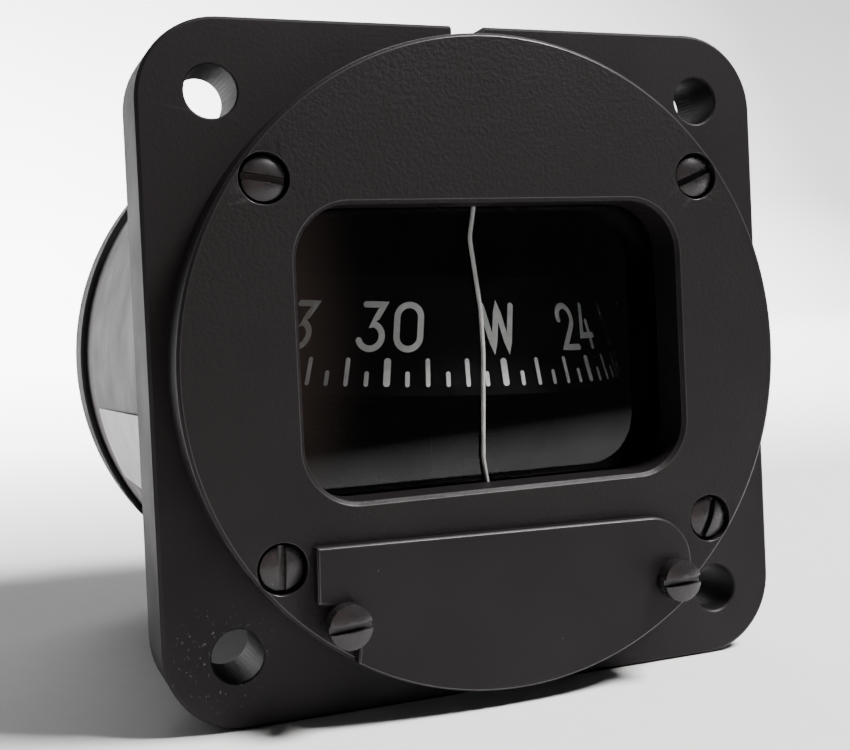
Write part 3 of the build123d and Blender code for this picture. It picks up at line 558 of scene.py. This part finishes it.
def screwTemplate(extra):
    # a merged copy of the lock screw, brought to the origin with its slot level and its shank longer by extra
    piece = mergedCopy("cover_lock_screw", "screwTemplate")
    move = Matrix.Rotation(math.radians(screwLook["lockAngle"]), 4, "Y") @ Matrix.Translation(-lockCentre * mm)
    piece.data.transform(move)
    for vertex in piece.data.vertices:
        if vertex.co.y > screwLook["shankStart"] * mm:
            vertex.co.y += extra * mm
    roundEdges(piece, screwLook["edge"])
    return piece


def screwTree(template):
    tree, start, end = newGeometryTree("slottedScrews")
    ids = {"screw": groupInput(tree, "Screw", "NodeSocketObject")}
    source = addNode(tree, "GeometryNodeObjectInfo", {"Object": start.outputs["Screw"], "As Instance": True})
    turn = addNode(tree, "GeometryNodeInputNamedAttribute", {"Name": "turn"}, data_type="FLOAT_VECTOR")
    points = addNode(tree, "GeometryNodeMeshToPoints", {"Mesh": start.outputs["Geometry"]})
    placed = addNode(tree, "GeometryNodeInstanceOnPoints",
                     {"Points": points.outputs[0], "Instance": source.outputs["Geometry"],
                      "Rotation": turn.outputs["Attribute"]})
    finishTree(tree, end, placed.outputs[0], shades["screwPaint"])
    return tree, ids


def setScrews(name, node, places, extra=0.0):
    # places are x, y and z in millimetres, then the turns about X, Y and Z in degrees
    template = screwTemplate(extra)
    tree, ids = screwTree(template)
    base = bpy.data.meshes.new(name + "Places")
    base.from_pydata([Vector(place[:3]) * mm for place in places], [], [])
    turn = base.attributes.new("turn", "FLOAT_VECTOR", "POINT")
    for item, place in zip(turn.data, places):
        item.vector = [math.radians(angle) for angle in place[3:]]
    piece = grow(name, base, tree, {ids["screw"]: template})
    bpy.data.objects.remove(template)
    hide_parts(node)
    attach(piece, "case")


def nodeBox(node):
    low, high = (Vector(corner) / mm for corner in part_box(node))
    return {"low": low, "high": high, "centre": (low + high) / 2}


lockBox = nodeBox("cover_lock_screw")
lockCentre, pivotCentre = lockBox["centre"], nodeBox("cover_pivot_screw")["centre"]
lockCentre.y = lockBox["low"].y - screwLook["headBack"]
lockPlace = (*lockCentre, 0, -screwLook["lockAngle"], 0)
pivotPlace = (pivotCentre.x, lockCentre.y, pivotCentre.z, 0, -screwLook["pivotAngle"], 0)

bezelBox = nodeBox("bezel_screws")
bezelX, bezelZ = bezelBox["high"].x - screwLook["headRadius"], bezelBox["high"].z - screwLook["headRadius"]
bezelSeat = bezelBox["low"].y - screwLook["headBack"] - screwLook["bezelSink"]
bezelPlaces = [(side * bezelX, bezelSeat, height * bezelZ, 0, -angle, 0)
               for (side, height), angle in screwLook["bezelAngles"].items()]

capHigh = nodeBox("cap_screws")["high"]
capX, capSeat = capHigh.x - screwLook["headRadius"], capHigh.y + screwLook["headBack"]
capPlaces = [(side * capX, capSeat, height * capX, 0, screwLook["capAngle"] + screwLook["capStep"] * index, 180)
             for index, (side, height) in enumerate(((1, 1), (1, -1), (-1, -1), (-1, 1)))]

setScrews("bezelScrews", "bezel_screws", bezelPlaces, screwLook["bezelLonger"])
setScrews("coverLockScrew", "cover_lock_screw", [lockPlace])
setScrews("coverPivotScrew", "cover_pivot_screw", [pivotPlace])
setScrews("capScrews", "cap_screws", capPlaces, screwLook["capLonger"])
print("screws set:", len(bezelPlaces) + len(capPlaces) + 2)


# ---- shock spring under the pivot pin


def buildSpring():
    # the pin's collar presses the coil; the piece is a smoothed copy of the CAD spring, riding on the case
    piece = mergedCopy("pivot_spring", "pressedSpring")
    piece.data.materials.append(shades["bronze"])
    smooth(piece)
    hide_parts("pivot_spring")
    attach(piece, "case")
    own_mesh(piece)


buildSpring()
print("spring set")


# ---- compass card: ticks and figures on the cone

cardLook = {
    "pivot": (0, 25.4, -1.0), "pitch": 2.0, "roll": 2.8, "heading": 278.6,
    "footRadius": 22.95, "footHeight": -1.6, "taper": 0.358,
    "lift": -0.01, "thickness": 0.05,
    "tickFoot": -0.82, "longTop": 1.75, "shortTop": 0.56, "broad": 0.65, "narrow": 0.42,
    "tickCount": 72,
    "figureFoot": 2.59, "figureHeight": 4.04, "stroke": 0.58, "figureGap": 0.30, "runLength": 0.8,
}
# from the card's own frame, on its pivot with the figures upright, to where it hangs in the CAD
cardPlace = (Matrix.Translation(Vector(cardLook["pivot"]) * mm)
             @ Matrix.Rotation(math.radians(cardLook["pitch"]), 4, "X")
             @ Matrix.Rotation(math.radians(cardLook["roll"]), 4, "Y")
             @ Matrix.Rotation(math.radians(180 + cardLook["heading"]), 4, "Z"))


def coneRadius(height):
    return cardLook["footRadius"] - (height - cardLook["footHeight"]) * cardLook["taper"]


def tickTree():
    tree, start, end = newGeometryTree("cardTicks")
    ids = {"Count": groupInput(tree, "Count", "NodeSocketInt", cardLook["tickCount"])}
    for name in ("Foot", "Long Top", "Short Top", "Broad", "Narrow", "Cone Radius", "Taper", "Thickness"):
        ids[name] = groupInput(tree, name, "NodeSocketFloat", mm)
    given = start.outputs

    def calc(operation, first, second=0.0):
        return maths(tree, operation, first, second)

    line = addNode(tree, "GeometryNodeMeshLine", {"Count": given["Count"]})
    index = addNode(tree, "GeometryNodeInputIndex").outputs[0]
    angle = calc("DIVIDE", calc("MULTIPLY", index, 2 * math.pi), given["Count"])
    lean = calc("ARCTANGENT", given["Taper"])
    joined = addNode(tree, "GeometryNodeJoinGeometry")
    isEven = calc("COMPARE", calc("MODULO", index, 2.0), 0.0)
    isThirty = calc("COMPARE", calc("MODULO", index, 6.0), 0.0)
    kinds = ((isThirty, "Long Top", "Broad"), (calc("SUBTRACT", isEven, isThirty), "Long Top", "Narrow"),
             (calc("SUBTRACT", 1.0, isEven), "Short Top", "Narrow"))
    for chosen, top, width in kinds:
        tall = calc("DIVIDE", calc("SUBTRACT", given[top], given["Foot"]), calc("COSINE", lean))
        middle = calc("MULTIPLY", calc("ADD", given[top], given["Foot"]), 0.5)
        bar = addNode(tree, "GeometryNodeCurvePrimitiveQuadrilateral", {"Width": given[width], "Height": tall})
        fillet = {"Curve": bar.outputs[0], "Count": 5, "Radius": calc("MULTIPLY", given[width], 0.49)}
        rounded = addNode(tree, "GeometryNodeFilletCurve", fillet, mode="POLY")
        face = addNode(tree, "GeometryNodeFillCurve", {"Curve": rounded.outputs[0]})
        solid = addNode(tree, "GeometryNodeExtrudeMesh",
                        {"Mesh": face.outputs[0], "Offset Scale": given["Thickness"]})
        both = addNode(tree, "GeometryNodeJoinGeometry")
        flipped = addNode(tree, "GeometryNodeFlipFaces", {"Mesh": face.outputs[0]})
        tree.links.new(flipped.outputs[0], both.inputs[0])
        tree.links.new(solid.outputs[0], both.inputs[0])
        radius = calc("SUBTRACT", given["Cone Radius"], calc("MULTIPLY", middle, given["Taper"]))
        sideways = calc("MULTIPLY", radius, calc("SINE", angle))
        ahead = calc("MULTIPLY", radius, calc("COSINE", angle))
        spot = addNode(tree, "ShaderNodeCombineXYZ", {0: sideways, 1: ahead, 2: middle}).outputs[0]
        moved = addNode(tree, "GeometryNodeSetPosition", {"Geometry": line.outputs[0], "Position": spot})
        # the bar lies along its own Y, face to +Z: it is stood up, turned outwards and leant on the cone
        upright = calc("SUBTRACT", math.pi / 2, lean)
        outwards = calc("SUBTRACT", math.pi, angle)
        facing = addNode(tree, "ShaderNodeCombineXYZ", {0: upright, 1: 0.0, 2: outwards}).outputs[0]
        ticks = addNode(tree, "GeometryNodeInstanceOnPoints",
                        {"Points": moved.outputs[0], "Selection": chosen, "Instance": both.outputs[0],
                         "Rotation": facing})
        tree.links.new(ticks.outputs[0], joined.inputs[0])
    finishTree(tree, end, joined.outputs[0], shades["markPaint"])
    return tree, ids


def growTicks():
    tree, ids = tickTree()
    sizes = {"Foot": "tickFoot", "Long Top": "longTop", "Short Top": "shortTop", "Broad": "broad",
             "Narrow": "narrow", "Thickness": "thickness"}
    values = {ids[name]: cardLook[key] * mm for name, key in sizes.items()}
    values[ids["Count"]] = cardLook["tickCount"]
    values[ids["Taper"]] = cardLook["taper"]
    values[ids["Cone Radius"]] = (coneRadius(0) + cardLook["lift"]) * mm
    return grow("cardTicks", bpy.data.meshes.new("tickBase"), tree, values)


tickPiece = growTicks()
tickPiece.data.transform(cardPlace)
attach(tickPiece, "card")
print("card ticks:", len(tickPiece.data.polygons), "faces")


# ---- figures, drawn as round-ended strokes in the manner of an engraving template

def arc(x, y, radius, start, stop, steps=14, stretch=1.0):
    points = []
    for i in range(steps + 1):
        angle = math.radians(start + (stop - start) * i / steps)
        points.append((x + radius * math.cos(angle), y + stretch * radius * math.sin(angle)))
    return points


# each figure has its width and its strokes, for a height of one
figures = {
    "0": (0.56, [arc(0.28, 0.72, 0.28, 0, 180) + arc(0.28, 0.28, 0.28, 180, 360) + [(0.56, 0.72)]]),
    "1": (0.22, [[(0.0, 0.78), (0.22, 1.0), (0.22, 0.0)]]),
    "2": (0.57, [arc(0.28, 0.72, 0.28, 190, -38) + [(0.0, 0.0), (0.57, 0.0)]]),
    "3": (0.615, [[(0.165, 1.0), (0.60, 1.0), (0.345, 0.55)] + arc(0.285, 0.284, 0.284, 74, -159, 18)]),
    "4": (0.60, [[(0.30, 1.0), (0.0, 0.27), (0.60, 0.27)], [(0.42, 0.60), (0.42, 0.0)]]),
    "5": (0.58, [[(0.53, 1.0), (0.10, 1.0), (0.06, 0.56)] + arc(0.28, 0.31, 0.31, 128, -150, 18)]),
    "6": (0.57, [[(0.46, 1.0), (0.10, 0.48)] + arc(0.285, 0.285, 0.285, 150, -210, 24)]),
    "N": (0.60, [[(0.0, 0.0), (0.0, 1.0), (0.60, 0.0), (0.60, 1.0)]]),
    "E": (0.52, [[(0.52, 1.0), (0.0, 1.0), (0.0, 0.0), (0.52, 0.0)], [(0.0, 0.52), (0.44, 0.52)]]),
    "S": (0.56, [arc(0.28, 0.75, 0.25, 20, 250, 12) + arc(0.28, 0.26, 0.26, 80, -160, 12)]),
    "W": (0.80, [[(0.0, 1.0), (0.20, 0.0), (0.40, 1.0), (0.60, 0.0), (0.80, 1.0)]]),
}
labels = {0: "N", 30: "3", 60: "6", 90: "E", 120: "12", 150: "15",
          180: "S", 210: "21", 240: "24", 270: "W", 300: "30", 330: "33"}


def divided(points, longest):
    # straight runs are cut short enough to follow the cone
    line = [points[0]]
    for (x0, y0), (x1, y1) in zip(points, points[1:]):
        pieces = max(1, math.ceil(math.hypot(x1 - x0, y1 - y0) / longest))
        line += [(x0 + (x1 - x0) * i / pieces, y0 + (y1 - y0) * i / pieces) for i in range(1, pieces + 1)]
    return line


def ribbon(points, half):
    # left and right rows beside a stroke, mitred at its bends, with a half circle of pairs at each end
    headings = [math.atan2(y1 - y0, x1 - x0) for (x0, y0), (x1, y1) in zip(points, points[1:])]
    rows = []
    for i, (x, y) in enumerate(points):
        before, after = headings[max(i - 1, 0)], headings[min(i, len(headings) - 1)]
        bend = (after - before + math.pi) % (2 * math.pi) - math.pi
        aside = before + bend / 2 + math.pi / 2
        reach = half / max(math.cos(bend / 2), 0.55)
        overX, overY = reach * math.cos(aside), reach * math.sin(aside)
        rows.append([(x + side * overX, y + side * overY) for side in (1, -1)])
    for end, heading, place in ((0, headings[0] + math.pi, points[0]), (1, headings[-1], points[-1])):
        cap = []
        for k in range(1, 6):
            angle = math.radians(18 * k)
            ahead, wide = half * math.sin(angle), half * math.cos(angle) * (1 if end else -1)
            footX, footY = place[0] + ahead * math.cos(heading), place[1] + ahead * math.sin(heading)
            overX, overY = -wide * math.sin(heading), wide * math.cos(heading)
            cap.append([(footX + side * overX, footY + side * overY) for side in (1, -1)])
        rows = rows + cap if end else cap[::-1] + rows
    return rows


def onCard(u, height, heading, lift):
    radius = coneRadius(height) + lift
    angle = math.radians(heading) - u / radius
    return Vector((radius * math.sin(angle), radius * math.cos(angle), height)) * mm


def drawFigures():
    work = bmesh.new()
    scale, half = cardLook["figureHeight"], cardLook["stroke"] / 2
    lifts = (cardLook["lift"] + cardLook["thickness"], cardLook["lift"])
    for heading, text in labels.items():
        left = -(sum(figures[letter][0] for letter in text) + cardLook["figureGap"] * (len(text) - 1)) / 2
        for letter in text:
            wide, strokes = figures[letter]
            for points in strokes:
                placed = [((left + x) * scale, cardLook["figureFoot"] + y * scale) for x, y in points]
                rows = ribbon(divided(placed, cardLook["runLength"]), half)
                rings = []
                for one, two in rows:
                    corners = [(one, lifts[0]), (two, lifts[0]), (two, lifts[1]), (one, lifts[1])]
                    rings.append([work.verts.new(onCard(u, h, heading, lift)) for (u, h), lift in corners])
                for near, far in zip(rings, rings[1:]):
                    for k in range(4):
                        work.faces.new((near[k], near[(k + 1) % 4], far[(k + 1) % 4], far[k]))
                work.faces.new(rings[0][::-1])
                work.faces.new(rings[-1])
            left += wide + cardLook["figureGap"]
    bmesh.ops.remove_doubles(work, verts=work.verts, dist=0.0005 * mm)
    bmesh.ops.recalc_face_normals(work, faces=work.faces)
    mesh = bpy.data.meshes.new("cardFigures")
    work.to_mesh(mesh)
    work.free()
    return mesh


figurePiece = newObject("cardFigures", drawFigures())
figurePiece.data.materials.append(shades["markPaint"])
figurePiece.data.transform(cardPlace)
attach(figurePiece, "card")
print("card figures:", len(figurePiece.data.polygons), "faces")


# ---- blank label on the left of the barrel

# top and bottom are degrees below the barrel's left side, at the front and the back end
labelLook = {"radius": 29.95, "proud": 0.07, "sunk": 0.05, "front": 9.0, "back": 42.0,
             "top": (-7.0, -9.3), "bottom": (-24.4, -25.6), "steps": 14}


def buildLabel():
    work = bmesh.new()
    steps = labelLook["steps"]
    layers = []
    for radius in (labelLook["radius"] + labelLook["proud"], labelLook["radius"] - labelLook["sunk"]):
        grid = []
        for end, depth in enumerate((labelLook["front"], labelLook["back"])):
            low, high = labelLook["bottom"][end], labelLook["top"][end]
            angles = [math.radians(low + (high - low) * i / steps) for i in range(steps + 1)]
            corners = [Vector((-radius * math.cos(a), depth, radius * math.sin(a))) * mm for a in angles]
            grid.append([work.verts.new(corner) for corner in corners])
        layers.append(grid)
    outer, inner = layers
    for grid in layers:
        for i in range(steps):
            work.faces.new((grid[0][i], grid[0][i + 1], grid[1][i + 1], grid[1][i]))
    for end in (0, 1):
        for i in range(steps):
            work.faces.new((outer[end][i], outer[end][i + 1], inner[end][i + 1], inner[end][i]))
    for i in (0, steps):
        work.faces.new((outer[0][i], outer[1][i], inner[1][i], inner[0][i]))
    bmesh.ops.recalc_face_normals(work, faces=work.faces)
    mesh = bpy.data.meshes.new("blankLabel")
    work.to_mesh(mesh)
    work.free()
    mesh.materials.append(shades["stickerPaper"])
    return newObject("blankLabel", mesh)


label = buildLabel()
smooth(label, 40)
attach(label, "case")
print("blank label set")


# ---- floor, light and camera

# far off, the sweep glows in the camera's sight and, by the share "mirrored", in mirrors. In front, mirrors see
# an even sheen that fades out between two distances along "edgeAcross"
stageLook = {
    "base": colour(0.80, 0.80, 0.80), "shade": colour(0.75, 0.75, 0.755), "grain": 3,
    "glowTint": colour(0.98, 0.99, 1.0), "glowDepth": (0.10, 0.45), "glowWide": 0.62, "glowSides": (8.0, 0.6),
    "glowHeight": (0.05, 0.30), "glowTop": 0.35, "mirrored": 0.18,
    "edgeAcross": (0.38, 0.92, 0), "edge": (-0.099, -0.148), "sheen": 1.9, "sheenFrom": -0.07,
    "half": 3.0, "flangeDepth": 0.3, "below": 0.02,
    "profile": [(-3.0, 0.0), (0.30, 0.0), (0.52, 0.03), (0.68, 0.12), (0.79, 0.3), (0.84, 0.6), (0.85, 3.0)],
}


def floorFinish():
    material, tree, shader, where = newMaterial("paleFloor")
    output = next(n for n in tree.nodes if n.type == "OUTPUT_MATERIAL")
    grain = noise(tree, where, stageLook["grain"], 4)
    base = mixColour(tree, ramp(tree, grain, 0.3, 0.7, 0, 0.4), stageLook["base"], stageLook["shade"])
    tree.links.new(base, shader.inputs["Base Color"])
    shader.inputs["Roughness"].default_value = 0.8
    shader.inputs["Specular IOR Level"].default_value = 0.2
    across, depth, height = addNode(tree, "ShaderNodeSeparateXYZ", {0: where}).outputs
    path = addNode(tree, "ShaderNodeLightPath").outputs
    camera, glossy = path["Is Camera Ray"], path["Is Glossy Ray"]

    level = ramp(tree, across, 0.0, stageLook["glowWide"], *stageLook["glowSides"])
    rise = ramp(tree, height, *stageLook["glowHeight"], 1.0, stageLook["glowTop"])
    level = maths(tree, "MULTIPLY", level, rise)
    level = maths(tree, "MULTIPLY", ramp(tree, depth, *stageLook["glowDepth"]), level)
    sight = maths(tree, "ADD", camera, maths(tree, "MULTIPLY", glossy, stageLook["mirrored"]))
    glow = addNode(tree, "ShaderNodeEmission",
                   {"Color": stageLook["glowTint"], "Strength": maths(tree, "MULTIPLY", level, sight)})
    lit = addNode(tree, "ShaderNodeAddShader", {0: shader.outputs[0], 1: glow.outputs[0]})

    forward = vectorMaths(tree, "DOT_PRODUCT", where, stageLook["edgeAcross"], "Value")
    front = ramp(tree, forward, *stageLook["edge"])
    clear = addNode(tree, "ShaderNodeBsdfTransparent")
    hidden = maths(tree, "MULTIPLY", front, maths(tree, "SUBTRACT", 1.0, camera))
    seen = addNode(tree, "ShaderNodeMixShader", {0: hidden, 1: lit.outputs[0], 2: clear.outputs[0]})
    fading = maths(tree, "MULTIPLY", stageLook["sheen"], maths(tree, "SUBTRACT", 1.0, front))
    sheen = addNode(tree, "ShaderNodeEmission", {"Strength": fading})
    through = addNode(tree, "ShaderNodeAddShader", {0: sheen.outputs[0], 1: clear.outputs[0]})
    ahead = maths(tree, "MULTIPLY", glossy, maths(tree, "LESS_THAN", forward, stageLook["sheenFrom"]))
    mix = addNode(tree, "ShaderNodeMixShader", {0: ahead, 1: seen.outputs[0], 2: through.outputs[0]})
    tree.links.new(mix.outputs[0], output.inputs[0])
    return material


def buildFloor():
    # the floor touches the flange's foot and the cap's foot, and sweeps up behind
    flangeFoot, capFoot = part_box("case")[0][2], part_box("rear_cap")[0][2]
    flangeDepth, capDepth = stageLook["flangeDepth"] * mm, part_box("rear_cap")[0][1] + 0.1 * mm
    slope = (capFoot - flangeFoot) / (capDepth - flangeDepth)
    profile, half = stageLook["profile"], stageLook["half"]
    foot = flangeFoot - stageLook["below"] * mm
    points = [(x, y, foot + (y - flangeDepth) * slope + z) for y, z in profile for x in (-half, half)]
    faces = [(2 * i, 2 * i + 1, 2 * i + 3, 2 * i + 2) for i in range(len(profile) - 1)]
    mesh = bpy.data.meshes.new("floor")
    mesh.from_pydata(points, [], faces)
    mesh.materials.append(floorFinish())
    floor = newObject("floor", mesh)
    smooth(floor, 60)


buildFloor()


lightLook = {
    "keyLight": {"place": (0.49, -0.33, 0.79), "aim": (0, 0, 0), "size": 0.26, "power": 33.0,
                 "tint": (1.0, 0.975, 0.965)},
    "backLight": {"place": (0.10, 0.75, 0.90), "aim": (0, 0.10, 0), "size": 0.60, "power": 3.0,
                  "tint": (1.0, 1.0, 1.0)},
}


def addLight(name, look):
    light = bpy.data.lights.new(name, "AREA")
    light.shape = "SQUARE"
    light.size = look["size"]
    light.energy = look["power"]
    light.color = look["tint"]
    lamp = bpy.data.objects.new(name, light)
    scene.collection.objects.link(lamp)
    lamp.location = look["place"]
    lamp.rotation_euler = (Vector(look["aim"]) - Vector(look["place"])).to_track_quat("-Z", "Y").to_euler()


for name, look in lightLook.items():
    addLight(name, look)

# bright all round but dark in front, with a dim warm patch that the window mirrors; spans are in degrees
worldLook = {
    "tint": (0.98, 0.99, 1.0), "soft": 0.14, "shiny": 0.48, "dark": 0.0005, "veil": 0.07, "shown": 1.8,
    "front": (0.28, -0.95, 0.0), "frontSpan": (42, 100),
    "warm": (0.75, 0.54, 0.46), "warmAim": (-0.139, -0.99, -0.01), "warmSpan": (22.0, 27.5),
}


def buildWorld():
    world = bpy.data.worlds.new("studio")
    scene.world = world
    world.use_nodes = True
    tree = world.node_tree
    background = tree.nodes["Background"]
    heading = addNode(tree, "ShaderNodeTexCoord").outputs["Generated"]
    path = addNode(tree, "ShaderNodeLightPath").outputs
    camera, glossy = path["Is Camera Ray"], path["Is Glossy Ray"]

    def towards(aim, span, value, rest):
        # value within the span's first angle of a direction, rest beyond its second
        cosine = vectorMaths(tree, "DOT_PRODUCT", heading, Vector(aim).normalized(), "Value")
        near, far = (math.cos(math.radians(angle)) for angle in span)
        inputs = {"Value": cosine, "From Min": far, "From Max": near, "To Min": rest, "To Max": value}
        return addNode(tree, "ShaderNodeMapRange", inputs, interpolation_type="SMOOTHSTEP").outputs[0]

    def scaled(vector, factor):
        return addNode(tree, "ShaderNodeVectorMath", {0: vector, "Scale": factor}, operation="SCALE").outputs[0]

    bright = maths(tree, "ADD", worldLook["soft"], maths(tree, "MULTIPLY", glossy, worldLook["shiny"]))
    bright = maths(tree, "MULTIPLY", bright, towards(worldLook["front"], worldLook["frontSpan"], 0.0, 1.0))
    dim = maths(tree, "ADD", worldLook["dark"], maths(tree, "MULTIPLY", glossy, worldLook["veil"]))
    level = {0: camera, 2: maths(tree, "MAXIMUM", dim, bright), 3: worldLook["shown"]}
    shown = addNode(tree, "ShaderNodeMix", level, data_type="FLOAT").outputs[0]
    patch = maths(tree, "MULTIPLY", glossy, towards(worldLook["warmAim"], worldLook["warmSpan"], 1.0, 0.0))
    total = vectorMaths(tree, "ADD", scaled(worldLook["tint"], shown), scaled(worldLook["warm"], patch))
    tree.links.new(total, background.inputs["Color"])
    background.inputs["Strength"].default_value = 1.0


buildWorld()

# place in millimetres; focal length and centre in pixels of the image
cameraLook = {
    "place": (-45.143, -99.432, 4.577), "look": (0.34459, 0.93856, -0.01930),
    "right": (0.93741, -0.34512, -0.04641), "up": (0.05022, 0.00210, 0.99874),
    "focal": 1199.276, "centre": (392.306, 335.869), "image": (850, 750),
}


def buildCamera():
    wide, high = cameraLook["image"]
    lens = bpy.data.cameras.new("camera")
    lens.sensor_width = 36
    lens.lens = cameraLook["focal"] / wide * lens.sensor_width
    lens.shift_x = (wide / 2 - cameraLook["centre"][0]) / wide
    lens.shift_y = (cameraLook["centre"][1] - high / 2) / wide
    lens.clip_start = 0.005
    camera = bpy.data.objects.new("camera", lens)
    scene.collection.objects.link(camera)
    right, up, look = (Vector(cameraLook[key]).normalized() for key in ("right", "up", "look"))
    turn = Matrix((right, up, -look)).transposed().to_4x4()
    camera.matrix_world = Matrix.Translation(Vector(cameraLook["place"]) * mm) @ turn
    bpy.context.scene.camera = camera


buildCamera()
print("stage, lights and camera set")
